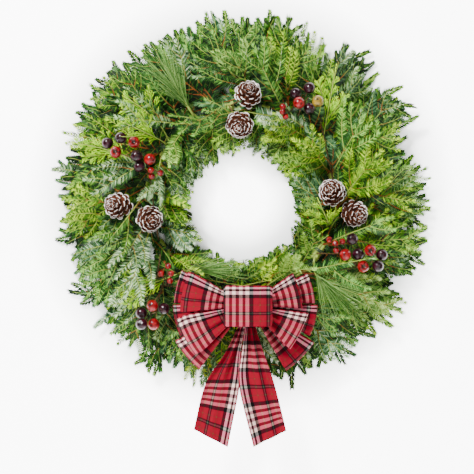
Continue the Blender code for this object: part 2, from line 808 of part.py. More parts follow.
# Sprays tucked in beside the fir: their control and tip as x, z and depth in millimetres.
CEDARS = (
    ("cedar_spray_1", (-130, 128, 74), (-182, 158, 88)),
    ("cedar_spray_2", (-134, 96, 82), (-186, 118, 100)),
    ("cedar_spray_3", (-190, 78, 36), (-264, 88, 62)),
    ("cedar_spray_4", (136, 118, 56), (150, 202, 76)),
    ("cedar_spray_5", (150, -62, 64), (124, -8, 88)),
    ("cedar_spray_6", (-138, -138, 66), (-196, -150, 82)),
)
PINES = (
    ("pine_tuft_1", (-82, 142, 56), (-108, 182, 68)),
    ("pine_tuft_2", (-92, -112, 44), (-62, -118, 56)),
    ("pine_tuft_3", (112, -126, 56), (138, -140, 66)),
)


def spray_stem(name, control, tip, radius):
    """A spray's stem from a clear seat to its tip, which is moved a little where nothing is clear."""
    bend, end = (flat_place(*(v * MM for v in point)) for point in (control, tip))
    aside = (end - bend).cross(FORWARD).normalized()
    steps = (0, 6, -6, 12, -12, 18, -18)
    moves = sorted(((up, over) for up in steps for over in steps), key=lambda m: abs(m[0]) + abs(m[1]))
    for up, over in moves:
        for seat in seats_near(bend):
            moved = (FORWARD * up + aside * over) * MM
            stem = Stem(name, seat + FORWARD * 4 * MM, bend + moved / 2, end + moved, FORWARD, radius)
            if settle(stem, rooted=False):
                PLACED.add_bar(seat, stem.root, radius, id(stem), name)
                stem.foot = [seat, stem.root, stem.at(0.06)]
                return stem
    raise ValueError(f"no clear seat for {name}")


def build_cedar(name, stem):
    """A flat frond: branchlets to both sides of its stem, and two side fronds."""
    stems = [stem]
    for share, angle in ((0.5, 42), (0.62, -42)):

        def make(turn, lift, share=share, angle=angle):
            root = stem.at(share)
            along, side, _ = stem.axes(share)
            turned = math.radians(angle + turn)
            ahead = along * math.cos(turned) - side * math.sin(turned)
            end = root + ahead * 46 * MM + FORWARD * lift
            return Stem(name, root, (root + end) / 2, end, FORWARD, 1.6 * MM, stem)

        branch = settle_near(make)
        if branch:
            stems.append(branch)
    for k, each in enumerate(stems):
        grow_needles(each, 10 * MM if k else stem.length * 0.4, CEDAR_PITCH, CEDAR_BRANCHLET, 42, False)
    base = build_stem(name, stem, "cedar")
    pieces = [build_stem(f"{name}_{k}", each, "cedar") for k, each in enumerate(stems[1:])]
    foot = bar_between(name + "_foot", stem.foot, stem.radius * 0.85, 4, "cedar")
    join(base, pieces + [foot], "MANIFOLD")


def build_pine(name, stem):
    """A tuft: long needles all round the end of a stem."""
    grow_needles(stem, stem.length * 0.4, PINE_PITCH, PINE_NEEDLE_LENGTH, 27)
    foot = bar_between(name + "_foot", stem.foot, stem.radius * 0.85, 4, "pine")
    join(build_stem(name, stem, "pine"), [foot], "MANIFOLD")


def build_fir():
    bunches = [fir_twigs(index) for index in range(BUNCHES)]
    for index, twigs in enumerate(bunches):
        twigs += lateral_twigs(index, twigs)
    for twigs in bunches:
        for _, twig, bare in twigs:
            grow_needles(twig, bare, NEEDLE_PITCH, NEEDLE_LENGTH, NEEDLE_SLANT)
    for index, twigs in enumerate(bunches):
        build_bunch(index, twigs)
    needles = sum(len(found) for twigs in bunches for _, twig, _ in twigs for _, _, found in twig.needles)
    print("twigs", sum(len(twigs) for twigs in bunches), "needles", needles)


def main():
    for made in list(bpy.data.objects):
        bpy.data.objects.remove(made)
    PLACED.add_object(wire_ring())
    for index in range(BUNCHES):
        along = tangent_at(clamp_angle(index)) * (NECK_LENGTH / 2 - 2 * MM)
        centre = place(clamp_angle(index), RING_RADIUS, NECK_DEPTH)
        PLACED.add_bar(centre - along, centre + along, NECK_APOTHEM, NECKS[index])
    for cone in CONES:
        cone_and_pick(*cone)
    build_bow()
    place_fruits()
    cedars = [(name, spray_stem(name, control, tip, 1.9 * MM)) for name, control, tip in CEDARS]
    pines = [(name, spray_stem(name, control, tip, 2.4 * MM)) for name, control, tip in PINES]
    build_fruits()
    for spray in cedars:
        build_cedar(*spray)
    for tuft in pines:
        build_pine(*tuft)
    build_fir()


main()
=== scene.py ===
"""The looks of a fraser fir wreath: fine twigs, cones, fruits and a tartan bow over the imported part."""
import bisect
import math
import random

import bmesh
import bpy
from mathutils import Matrix, Vector


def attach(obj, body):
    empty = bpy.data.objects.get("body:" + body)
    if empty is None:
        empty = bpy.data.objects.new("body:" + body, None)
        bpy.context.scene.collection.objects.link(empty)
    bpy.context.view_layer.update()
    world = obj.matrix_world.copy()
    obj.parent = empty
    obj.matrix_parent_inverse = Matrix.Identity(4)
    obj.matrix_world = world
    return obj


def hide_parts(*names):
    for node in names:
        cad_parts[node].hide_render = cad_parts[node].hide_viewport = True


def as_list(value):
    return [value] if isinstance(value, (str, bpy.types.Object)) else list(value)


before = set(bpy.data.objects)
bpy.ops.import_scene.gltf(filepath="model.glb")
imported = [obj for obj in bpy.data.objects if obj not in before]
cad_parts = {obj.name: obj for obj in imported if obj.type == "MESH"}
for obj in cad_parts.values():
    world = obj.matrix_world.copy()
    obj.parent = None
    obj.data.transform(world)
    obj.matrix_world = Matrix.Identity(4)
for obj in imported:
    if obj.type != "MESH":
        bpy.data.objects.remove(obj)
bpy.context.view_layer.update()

MM = 0.001
FORWARD = Vector((0, -1, 0))
# Turns what is made lying flat to face the front.
UPRIGHT = Matrix.Rotation(math.pi / 2, 4, "X")

# The same places as in the part: the ring's centre, and the wall that the wreath hangs on.
RING_RADIUS = 152.5
RING_WIRE = 1.9
WALL_GAP = 14
RING_Z = RING_WIRE - RING_RADIUS
CLAMPS = 16
CLAMP_STEP = 360 / CLAMPS
NECK_DEPTH = 24.25


def at(x, z, depth):
    """The point at x across and z above the ring's centre, and depth in front of the wall, all in mm."""
    return Vector((x, WALL_GAP - depth, RING_Z + z)) * MM


def round_ring(angle, radius, depth):
    turn = math.radians(angle)
    return at(radius * math.cos(turn), radius * math.sin(turn), depth)


def clamp_angle(index):
    return CLAMP_STEP / 2 + CLAMP_STEP * index


def clamp_place(index):
    """A clamp's middle, as a matrix: X away from the ring's centre, Y to the front and Z along the ring."""
    turn = math.radians(clamp_angle(index))
    radial, along = Vector((math.cos(turn), 0, math.sin(turn))), Vector((-math.sin(turn), 0, math.cos(turn)))
    basis = Matrix((radial, FORWARD, along)).transposed().to_4x4()
    return Matrix.Translation(round_ring(clamp_angle(index), RING_RADIUS, NECK_DEPTH)) @ basis


# Materials.


def linear(code):
    """A linear colour from an sRGB hex code."""
    parts = [int(code[k:k + 2], 16) / 255 for k in (1, 3, 5)]
    return tuple(c / 12.92 if c <= 0.04045 else ((c + 0.055) / 1.055) ** 2.4 for c in parts) + (1,)


def feed(node, inputs):
    """Sets a node's inputs, each to a value or an sRGB code, or links it to the socket that feeds it."""
    for name, value in inputs.items():
        if isinstance(value, bpy.types.NodeSocket):
            node.id_data.links.new(value, node.inputs[name])
        else:
            node.inputs[name].default_value = linear(value) if isinstance(value, str) else value


def add(tree, kind, inputs=None, stops=(), **settings):
    """Adds a node with its settings, its links and a ramp's stops, and gives its outputs."""
    made = tree.nodes.new("ShaderNode" + kind)
    for name, value in settings.items():
        setattr(made, name, value)
    feed(made, inputs or {})
    if stops:
        elements = made.color_ramp.elements
        while len(elements) < len(stops):
            elements.new(0.5)
        for element, (place, code) in zip(elements, stops):
            element.position = place
            element.color = linear(code) if isinstance(code, str) else (code, code, code, 1)
    return made.outputs


def material(name, roughness, specular=0.5, **values):
    """A new material, its tree and its shader, with the values that are the same all over."""
    made = bpy.data.materials.new(name)
    made.use_nodes = True
    shader = made.node_tree.nodes["Principled BSDF"]
    feed(shader, {"Roughness": roughness, "Specular IOR Level": specular})
    feed(shader, {key.replace("_", " ").title(): value for key, value in values.items()})
    return made, made.node_tree, shader


def mottle(tree, count, detail):
    """A pattern of patches by chance, from 0 to 1, this many patches to a metre."""
    place = add(tree, "TexCoord")["Object"]
    return add(tree, "TexNoise", {"Vector": place, "Scale": count, "Detail": detail})[0]


def darkened(tree, colour, pattern, stops, share=1.0):
    """The colour, darker or tinted where the pattern's stops say so."""
    shade = add(tree, "ValToRGB", {"Fac": pattern}, stops)[0]
    return add(tree, "Mix", {0: share, 6: colour, 7: shade}, data_type="RGBA", blend_type="MULTIPLY")[2]


def dress(shader, colour, height, depth, strength=1.0):
    """Gives a shader its colour, and a relief this many mm deep."""
    relief = add(shader.id_data, "Bump", {"Height": height, "Distance": depth * MM, "Strength": strength})[0]
    feed(shader, {"Base Color": colour, "Normal": relief})


def mottled(values, count, detail, stops, depth, strength=1.0):
    """A material whose colour and relief follow the same patches."""
    made, tree, shader = material(**values)
    pattern = mottle(tree, count, detail)
    dress(shader, add(tree, "ValToRGB", {"Fac": pattern}, stops)[0], pattern, depth, strength)
    return made


# Meshes and pieces.


def tinted():
    """An empty bmesh whose vertices carry a tone, and the number of the needle that they belong to."""
    bm = bmesh.new()
    bm.verts.layers.float_color.new("tone")
    bm.verts.layers.int.new("number")
    return bm


def copied(mesh):
    bm = bmesh.new()
    bm.from_mesh(mesh)
    return bm


def layers_of(bm):
    return bm.verts.layers.float_color["tone"], bm.verts.layers.int["number"]


def edges_of(verts):
    return list(dict.fromkeys(edge for vert in verts for edge in vert.link_edges))


def faces_of(verts):
    return list(dict.fromkeys(face for vert in verts for face in vert.link_faces))


def as_mesh(bm, name):
    """The mesh of a bmesh that is done with."""
    mesh = bpy.data.meshes.new(name)
    bm.to_mesh(mesh)
    bm.free()
    return mesh


SCRATCH = bpy.data.meshes.new("scratch")


def join(bm, piece):
    """Adds a bmesh that is done with to another."""
    piece.to_mesh(SCRATCH)
    piece.free()
    bm.from_mesh(SCRATCH)


def finished(name, bm, materials, nodes, smooth=False):
    """The piece of a finished bmesh, riding on the wreath and standing for its CAD nodes. Its faces are all
    smooth or all flat, or as they were made where smooth is None."""
    if smooth is not None:
        for face in bm.faces:
            face.smooth = smooth
    made = bpy.data.objects.new(name, as_mesh(bm, name))
    for each in materials:
        made.data.materials.append(each)
    bpy.context.scene.collection.objects.link(made)
    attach(made, "root")
    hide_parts(*nodes)
    return made


# What grows. A needle's tone attribute holds its own chance shade in red; on fir twigs, that red also carries a
# painted shade that darkens twigs lying low under the wreath's face. Green holds how yellow its twig is, and blue how
# blue and waxy its twig is. The ends of the ramps are the darkest and the lightest needles.


def tone_of(tree):
    found = add(tree, "Attribute", attribute_name="tone", attribute_type="GEOMETRY")["Color"]
    parts = add(tree, "SeparateColor", {"Color": found})
    return parts[0], parts[1], parts[2]


def needle_top():
    """Living fir needle, upper side: a waxy leaf with a soft gloss, dark green to new yellow-green growth."""
    made, tree, shader = material("fir_needle_top", 0.48, 0.12)
    chance, yellow, blue = tone_of(tree)
    dark, new, waxy = (
        add(tree, "ValToRGB", {"Fac": chance}, [(0, low), (0.5, middle), (1, high)])[0]
        for low, middle, high in (
            ("#041505", "#1C4E12", "#6FAE3E"), ("#143602", "#588C06", "#C6E42C"), ("#0E2410", "#486F3E", "#CADEB4"),
        )
    )
    colour = add(tree, "Mix", {0: yellow, 6: dark, 7: new}, data_type="RGBA")[2]
    colour = add(tree, "Mix", {0: blue, 6: colour, 7: waxy}, data_type="RGBA")[2]
    # Lighter and darker patches about 22 mm apart, and a leaf's own grain of 1.1 mm.
    colour = darkened(tree, colour, mottle(tree, 45, 3), [(0.3, 0.72), (0.7, 1.0)])
    dress(shader, colour, mottle(tree, 900, 1), 0.15, 0.4)
    return made


def needle_under():
    """The same needle's underside: two pale waxy bands beside its green rib, matt."""
    made, tree, shader = material("fir_needle_under", 0.65, 0.08)
    chance, yellow, _ = tone_of(tree)
    pale = add(tree, "ValToRGB", {"Fac": chance}, [(0, "#1E3F24"), (0.5, "#5F8C60"), (1, "#CDE0C0")])[0]
    new = add(tree, "ValToRGB", {"Fac": chance}, [(0, "#43691C"), (1, "#A9C45E")])[0]
    colour = add(tree, "Mix", {0: yellow, 6: pale, 7: new}, data_type="RGBA")[2]
    # The bands are half a millimetre wide, and are drawn as patches of 3.8 mm so that they show.
    colour = darkened(tree, colour, mottle(tree, 260, 2), [(0.35, "#5F8F55"), (0.6, "#FFFFFF")], 0.5)
    feed(shader, {"Base Color": colour})
    return made


def twig_bark():
    """Fir bark: orange-brown and ridged at a shoot's root, yellow-green and smoother along its young part."""
    made, tree, shader = material("fir_bark", 0.7, 0.12)
    along = tone_of(tree)[0]
    colour = add(tree, "ValToRGB", {"Fac": along}, [(0.0, "#85481E"), (0.1, "#7E7030"), (0.3, "#93A648")])[0]
    # Darker patches 6 mm apart, and leaf scars 1.4 mm apart.
    colour = darkened(tree, colour, mottle(tree, 160, 4), [(0.3, 0.6), (0.7, 1.0)])
    dress(shader, colour, mottle(tree, 700, 2), 0.3)
    return made


def leaf(name, roughness, stops, count):
    """A leaf with its colours by chance, in darker and lighter patches, this many to a metre."""
    made, tree, shader = material(name, roughness, 0.15)
    colour = add(tree, "ValToRGB", {"Fac": tone_of(tree)[0]}, stops)[0]
    patches = mottle(tree, count, 3)
    dress(shader, darkened(tree, colour, patches, [(0.3, 0.7), (0.65, 1.0)]), patches, 0.3, 0.5)
    return made


FIR_TOP, FIR_UNDER, BARK = needle_top(), needle_under(), twig_bark()
# Cedar scale leaves, pressed flat: bright yellow-green, in scales about 3.3 mm long.
CEDAR_SCALES = leaf("cedar_scales", 0.5, [(0, "#3C7000"), (0.5, "#84C000"), (1, "#CCF030")], 300)
# White pine needles: fine, long and grey-green, with patches 5 mm apart.
PINE_NEEDLES = leaf("white_pine_needles", 0.45, [(0, "#1F4012"), (0.5, "#4F7A2E"), (1, "#94B566")], 200)

# Cones and fruits, as the part has them, with their places as x, z and depth in mm. Of each cone: its base,
# the tilt of its tip to x and z, and the seat of its wire in front of the clamps.
CONES = (
    ("pine_cone_1", (10, 165, 58), (0.10, 0.30), (-16.7, 152.2)),
    ("pine_cone_2", (-3, 119, 62), (-0.05, -0.25), (-20.3, 151.4)),
    ("pine_cone_3", (-197, -13, 58), (-0.30, 0.05), (-152.2, -16.7)),
    ("pine_cone_4", (-149, -33, 62), (0.25, -0.10), (-150.7, -24.0)),
    ("pine_cone_5", (147, 8, 62), (-0.20, 0.15), (152.2, 16.7)),
    ("pine_cone_6", (180, -24, 58), (0.25, -0.15), (148.4, -35.5)),
)
CONE_HEIGHT, CONE_SCALES = 40, 50
SEAT_DEPTH = 32.6
FRUIT_RADII = {"fruit": 9.4, "berry": 5}
# Fruits of each node: cluster, colour, kind and places. A hip shows its hollow end to the front.
FRUITS = (
    ("berries_1", "dark", "fruit", ((-214, 87, 84), (-192, 95, 92), (-167, 66, 94), (-163, 50, 84))),
    ("berries_1", "red", "fruit", ((-171, 88, 88), (-200, 72, 94), (-146, 61, 88))),
    ("berries_1", "red", "berry", ((-144, 43, 92), (-129, 39, 90), (-143, 34, 84))),
    ("berries_2", "dark", "fruit", ((108, 175, 86), (86, 166, 86), (108, 142, 86))),
    ("berries_2", "red", "fruit", ((91, 150, 98),)),
    ("berries_2", "red", "berry", ((66, 145, 88), (65, 136, 94), (70, 129, 88))),
    ("berries_2", "olive", "fruit", ((121, 153, 98),)),
    ("berries_3", "dark", "fruit", ((-124, -177, 84), (-160, -184, 84), (-159, -201, 94))),
    ("berries_3", "red", "fruit", ((-142, -172, 94), (-140, -202, 86))),
    ("berries_3", "red", "berry", ((-117, -109, 84), (-112, -121, 88), (-114, -133, 82), (-128, -121, 86))),
    ("berries_4", "dark", "fruit", ((176, -66, 92), (186, -90, 84), (224, -91, 84), (217, -109, 92))),
    ("berries_4", "red", "fruit", ((165, -91, 92), (205, -84, 90), (194, -110, 88))),
    ("berries_4", "red", "berry", ((140, -67, 88), (149, -73, 94), (161, -70, 84), (151, -84, 86))),
)
HIPS = ((-171, 88, 88), (-200, 72, 94), (205, -84, 90), (194, -110, 88))
# Where each node's stems are seated and where they part.
STEMS = {
    "berries_1_dark": ((-148.4, 35.5), (-180.1, 74.7, 60.3)),
    "berries_1_red": ((-134.2, -73.6), (-150.7, 56.5, 69.8)),
    "berries_2_dark": ((89.6, 123.5), (100.3, 160.2, 61.9)),
    "berries_2_red": ((95.8, 119.4), (76.7, 138.5, 54.5)),
    "berries_2_olive": ((150.7, 24.0), (122.1, 151.7, 61.5)),
    "berries_3_dark": ((-130.1, -79.9), (-146.1, -190.1, 60.1)),
    "berries_3_red": ((-42.8, -147.0), (-128.2, -141.4, 61.8)),
    "berries_4_dark": ((123.5, -89.6), (198.3, -90.6, 62.6)),
    "berries_4_red": ((79.9, -130.1), (190.4, -110.4, 55.9)),
}

# Round places that no needle enters or stands before: centre, with the depth it starts at, and radius.
KEEP_CLEAR = [((x, z, depth - 10), 23) for _, (x, z, depth), _, _ in CONES]
KEEP_CLEAR += [((x + 36 * tilt[0], z + 36 * tilt[1], depth - 2), 20) for _, (x, z, depth), tilt, _ in CONES]
KEEP_CLEAR += [
    ((x, z, depth - FRUIT_RADII[kind]), FRUIT_RADII[kind] + 1)
    for _, _, kind, places in FRUITS for x, z, depth in places
]

# Cedar and white pine: the seat of each spray, then its line's middle and tip.
CEDARS = (
    ("cedar_spray_1", (-119.4, 95.8), (-130, 128, 74), (-182, 158, 88)),
    ("cedar_spray_2", (-123.5, 89.6), (-134, 96, 82), (-186, 118, 100)),
    ("cedar_spray_3", (-147.0, 42.8), (-190, 78, 36), (-264, 88, 62)),
    ("cedar_spray_4", (130.1, 79.9), (136, 118, 56), (150, 202, 76)),
    ("cedar_spray_5", (147.0, -42.8), (150, -62, 64), (124, -8, 88)),
    ("cedar_spray_6", (-95.8, -119.4), (-138, -138, 66), (-196, -150, 82)),
)
PINES = (
    ("pine_tuft_1", (-76.7, 132.1), (-82, 142, 56), (-108, 182, 68)),
    ("pine_tuft_2", (-89.6, -123.5), (-92, -112, 44), (-62, -118, 56)),
    ("pine_tuft_3", (119.4, -95.8), (112, -126, 56), (138, -140, 66)),
)

# The bow: woven tartan ribbon with wired edges, 63.5 mm wide.

BOW_X, BOW_Z = 10, -170
# How far before the wall the bow starts, its tails hang and its centre loop ends.
BOW_DEPTH, TAILS_DEPTH, BOW_FRONT = 62, 84, 151
# How far the centre loop keeps needles off to each side of the gather, and above and below it.
CENTRE_ASIDE, CENTRE_ABOVE = 46, 36
RIBBON_WIDTH = 63.5
RIBBON_THICKNESS = 0.6
GATHER_RADIUS, GATHER_BACK, GATHER_FRONT = 8, 70, 118
LOOP_ROOT = 8.35
# Name, direction from the gather in degrees, length, middle depth, fullness, half the fan's angle,
# and how far from the gather the cream stripes lie.
LOOPS = (
    ("bow_inner_loop_1", 168, 105, 112, 30, 18, 40),
    ("bow_inner_loop_2", 207, 112, 112, 30, 18, 86),
    ("bow_inner_loop_3", 16, 84, 112, 30, 19, 50),
    ("bow_inner_loop_4", -27, 93, 112, 30, 19, 74),
    ("bow_outer_loop_1", 166, 117, 80, 24, 13, 128),
    ("bow_outer_loop_2", 193, 119, 80, 24, 12.5, 60),
    ("bow_outer_loop_3", 220, 129, 80, 24, 13, 112),
    ("bow_outer_loop_4", 14, 107, 80, 24, 13, 92),
    ("bow_outer_loop_5", -14, 111, 80, 24, 13, 40),
    ("bow_outer_loop_6", -45, 121, 80, 24, 15, 62),
)
# Each tail: across and up from the gather, depth and width of its stations, its two cut corners, its white
# edge, and how far down the cream stripes lie.
TAILS = (
    ("bow_tail_1", ((-1.5, -8.4, 96, 4), (-22, -72, 98, 22), (-40, -126, 96, 54)),
     ((-86, -199, 90), (-32, -227, 90)), 1, 142),
    ("bow_tail_2", ((1.5, -8.4, 101, 4), (7, -72, 105, 33), (14, -126, 103, 56)),
     ((9, -226, 96), (61, -200, 96)), -1, 74),
)

# The sett, in mm. Along the ribbon's length, from its white edge, and across it, over one repeat.
RED, CREAM, BLACK, MOSS, WINE, OLIVE = "#76041A", "#EFE3D8", "#060506", "#37402F", "#420812", "#54301C"
PINK = "#CB968C"
WARP = (
    (0, RED), (2.2, CREAM), (5.2, BLACK), (8.6, CREAM), (13.4, BLACK), (19.2, RED), (28.6, OLIVE), (30.6, RED),
    (40, BLACK), (41.8, MOSS), (43.8, BLACK), (45.4, RED), (53.6, OLIVE), (55.6, RED),
)
REPEAT = 98
WEFT = (
    (0, BLACK), (6.4, PINK), (12.2, WINE), (16.9, PINK), (22.5, WINE), (27.7, PINK), (33.3, WINE), (37.8, PINK),
    (43.6, BLACK), (50, RED), (59.5, OLIVE), (61.5, RED), (70.4, BLACK), (72.4, MOSS), (75.2, BLACK), (77.2, RED),
    (86.5, OLIVE), (88.5, RED),
)
# Where the middle of the cream stripes is in the repeat, and how far apart the threads are drawn.
STRIPES_MIDDLE, THREAD = 25, 0.8


def bow_at(x, z, depth):
    return at(BOW_X + x, BOW_Z + z, depth)


def in_bow(x, z, depth):
    """Whether a point before the bow's depth lies within the outline of a loop, a tail or the centre loop, and
    so is in the bow or hides it."""
    if abs(x) < CENTRE_ASIDE and abs(z) < CENTRE_ABOVE:
        return True
    for _, direction, length, _, _, spread, _ in LOOPS:
        turn = math.radians(direction)
        radius = x * math.cos(turn) + z * math.sin(turn)
        across = abs(z * math.cos(turn) - x * math.sin(turn))
        half = min(RIBBON_WIDTH / 2, radius * math.tan(math.radians(spread)))
        if 0 < radius < length + 3 and across < half + 3:
            return True
    if depth < TAILS_DEPTH or z > 0:
        return False
    return -60 + z * 0.15 < x < 30 - z * 0.16 and abs(x + z * 0.09) < 12 - z * 0.32


def tartan():
    """Woven polyester tartan, quite matt: the stripes of its length and of its width show half and half. Its
    threads, 0.4 mm apart, are drawn 0.8 mm apart so that they show."""
    made, tree, shader = material("tartan_weave", 0.8, 0.06)
    place = add(tree, "UVMap", uv_map="UVMap")[0]
    across, along, _ = add(tree, "SeparateXYZ", {"Vector": place})
    turns = add(tree, "Math", {0: along}, operation="FRACT")[0]
    warp = add(tree, "ValToRGB", {"Fac": across}, [(mm / RIBBON_WIDTH, code) for mm, code in WARP])[0]
    weft = add(tree, "ValToRGB", {"Fac": turns}, [(mm / REPEAT, code) for mm, code in WEFT])[0]
    for ramp in (warp, weft):
        ramp.node.color_ramp.interpolation = "CONSTANT"
    first = add(tree, "Math", {0: across, 1: RIBBON_WIDTH / THREAD}, operation="MULTIPLY")[0]
    both = add(tree, "Math", {0: along, 1: REPEAT / THREAD, 2: first}, operation="MULTIPLY_ADD")[0]
    twill = add(tree, "Math", {0: both}, operation="FRACT")[0]
    twill = add(tree, "Math", {0: twill, 1: 0.5}, operation="PINGPONG")[0]
    over = add(tree, "Math", {0: twill, 1: 0.5, 2: 0.38}, operation="MULTIPLY_ADD")[0]
    # Threads of two colours are seen as the lightness half way between them.
    warp, weft = (add(tree, "Gamma", {"Color": ramp, "Gamma": 1 / 4})[0] for ramp in (warp, weft))
    colour = add(tree, "Mix", {0: over, 6: warp, 7: weft}, data_type="RGBA")[2]
    dress(shader, add(tree, "Gamma", {"Color": colour, "Gamma": 4.0})[0], twill, 0.12, 0.5)
    return made


TARTAN = tartan()


def cloth(name, surface, length, long_steps, cross_steps, white, stripes, held, rests_on):
    """A ribbon: a grid whose points are moved to the surface, where u runs across it from -1 to 1 and v along
    it from 0 to 1. Its white edge is at u of 1 or -1, and its cream stripes this far along."""
    bm = bmesh.new()
    bmesh.ops.create_grid(bm, x_segments=cross_steps, y_segments=long_steps, size=1)
    layer = bm.loops.layers.uv.new("UVMap")
    for face in bm.faces:
        for loop in face.loops:
            u, v = loop.vert.co.x, (loop.vert.co.y + 1) / 2
            edge = (1 - u * white) / 2
            loop[layer].uv = (edge, (v * length - stripes + STRIPES_MIDDLE) / REPEAT + 8)
    for vert in bm.verts:
        u, v = vert.co.x, (vert.co.y + 1) / 2
        vert.co = surface(u, v)
    piece = finished(name + "_ribbon", bm, [TARTAN], [name], True)
    solid = piece.modifiers.new("thickness", "SOLIDIFY")
    solid.thickness = RIBBON_THICKNESS * MM
    solid.offset = 0
    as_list(rests_on)


def even(surface, steps=160):
    """The surface with v as the share of its middle line's length, and that length in mm."""
    points = [surface(0, k / steps) for k in range(steps + 1)]
    runs = [0]
    for before, after in zip(points, points[1:]):
        runs.append(runs[-1] + (after - before).length / MM)

    def spaced(u, v):
        run = v * runs[-1]
        k = min(bisect.bisect_right(runs, run) - 1, steps - 1)
        return surface(u, (k + (run - runs[k]) / (runs[k + 1] - runs[k])) / steps)

    return spaced, runs[-1]


def folds(half, waves):
    """How deep the pleats are where the ribbon is gathered to this half width, so that its cloth has room."""
    spare = math.sqrt(max(0, (RIBBON_WIDTH / 2 / half) ** 2 - 1))
    return 1.1 * spare * half / (waves * math.pi)


def side_loop(name, direction, length, middle, fullness, spread, stripes):
    turn = math.radians(direction)
    out = Vector((math.cos(turn), 0, math.sin(turn)))
    across = Vector((-math.sin(turn), 0, math.cos(turn)))
    draws = random.Random(name)
    phase, ripple = draws.uniform(-0.5, 0.5), draws.uniform(1.2, 2.2)

    def surface(u, v):
        t = math.pi * v
        swell = math.sin(t) ** 0.7 if 0 < v < 1 else 0
        radius = LOOP_ROOT + (length - LOOP_ROOT) * swell
        half = min(RIBBON_WIDTH / 2, radius * math.tan(math.radians(spread)))
        facing = math.cos(t)
        depth = middle + fullness / 2 * facing * (0.25 + 0.75 * swell)
        pleat = math.cos(math.pi * 2.5 * u + phase) * folds(half, 2.5)
        depth += facing * (pleat - 2.5 * u * u * swell) + ripple * math.sin(2.2 * u + 5 * v + phase) * swell
        radius -= 2.5 * u * u * swell
        return bow_at(0, 0, depth) + (out * radius + across * half * u) * MM

    white = -1 if math.cos(turn) < 0 else 1
    cloth(name, *even(surface), 44, 32, white, stripes, "folded", ["bow_gather"])


def centre_loop():
    back = GATHER_FRONT + 0.8

    def surface(u, v):
        t = 2 * math.pi * v
        rise = (1 - math.cos(t)) / 2
        x = -43 * math.sin(t) * (1 + 0.12 * math.cos(2 * t))
        x += (-1.4 if v < 0.5 else 1.4) * (1 - min(1, rise * 12))
        depth = back + (BOW_FRONT - back) * rise**0.75
        half = RIBBON_WIDTH / 2 * min(1, 0.27 + 0.84 * rise**0.6)
        depth -= (2.4 * u * u - 0.8) * rise
        depth += math.cos(2.5 * math.pi * u) * min(1.4, folds(half, 2.5)) * min(1, rise * 6)
        return bow_at(x, half * u, depth)

    surface, run = even(surface)
    cloth("bow_centre_loop", surface, run, 72, 32, 1, run / 2 - 17, "folded", ["bow_gather"])


def through(points, v):
    """The point at v from 0 to 1 on a smooth line through the points."""
    spans = len(points) - 1
    k = min(int(v * spans), spans - 1)
    t = v * spans - k
    b, c = points[k], points[k + 1]
    a = points[k - 1] if k else b * 2 - c
    d = points[k + 2] if k + 2 <= spans else c * 2 - b
    return (b * 2 + (c - a) * t + (a * 2 - b * 5 + c * 4 - d) * t**2 + (b * 3 - a - c * 3 + d) * t**3) / 2


def tail(name, stations, corners, white, stripes):
    left = [bow_at(x - width / 2, z, depth) for x, z, depth, width in stations] + [bow_at(*corners[0])]
    right = [bow_at(x + width / 2, z, depth) for x, z, depth, width in stations] + [bow_at(*corners[1])]

    def surface(u, v):
        first, second = through(left, v), through(right, v)
        point = first.lerp(second, (u + 1) / 2)
        half = (second - first).length / 2 / MM
        wave = math.cos(math.pi * 2 * u + white) * folds(half, 2) * min(1, v * 8)
        wave += 1.6 * math.sin(2.4 * u + 7 * v + white) * v
        return point + FORWARD * wave * MM

    cloth(name, *even(surface), 60, 30, white, stripes, "hung", ["bow_gather"])


def gather():
    """The pinched ribbon inside the bow, folded in nine flutes round its tie."""
    bm = bmesh.new()
    length, flutes = (GATHER_FRONT - GATHER_BACK) * MM, 9
    bmesh.ops.create_cone(
        bm, cap_ends=True, segments=4 * flutes, radius1=GATHER_RADIUS * MM, radius2=GATHER_RADIUS * MM, depth=length,
        calc_uvs=True,
    )
    layer = bm.loops.layers.uv.verify()
    rims = [edge for edge in bm.edges if abs(edge.verts[0].co.z - edge.verts[1].co.z) > length / 2]
    bmesh.ops.subdivide_edges(bm, edges=rims, cuts=9)
    for vert in bm.verts:
        turn = math.atan2(vert.co.y, vert.co.x)
        waist = 1 - 0.16 * (1 - (2 * vert.co.z / length) ** 2)
        vert.co.xy *= waist * (1 - 0.09 * (1 + math.cos(flutes * turn)))
    for face in bm.faces:
        for loop in face.loops:
            x, y, z = loop.vert.co
            loop[layer].uv = (0.3 + z / MM / RIBBON_WIDTH, math.atan2(y, x) / flutes + 0.6)
    middle = bow_at(0, 0, (GATHER_BACK + GATHER_FRONT) / 2)
    bmesh.ops.transform(bm, matrix=Matrix.Translation(middle) @ UPRIGHT, verts=bm.verts)
    finished("bow_gather_folds", bm, [TARTAN], ["bow_gather"], True)


def build_bow():
    gather()
    centre_loop()
    for loop in LOOPS:
        side_loop(*loop)
    for entry in TAILS:
        tail(*entry)


# Fir twigs. A shoot is made once, straight along X with its needles to both sides and above, and is then
# bent along each of its ways.

NEEDLE_WIDTH = 1.9
NEEDLE_THICKNESS = 0.7
NEEDLE_PITCH = 2.9
# How many times as wide the needles of a backing shoot are.
BACKING_WIDTH = 1.9
# The angle between one leaf or scale and the next, round a stem.
GOLDEN_ANGLE = 137.508

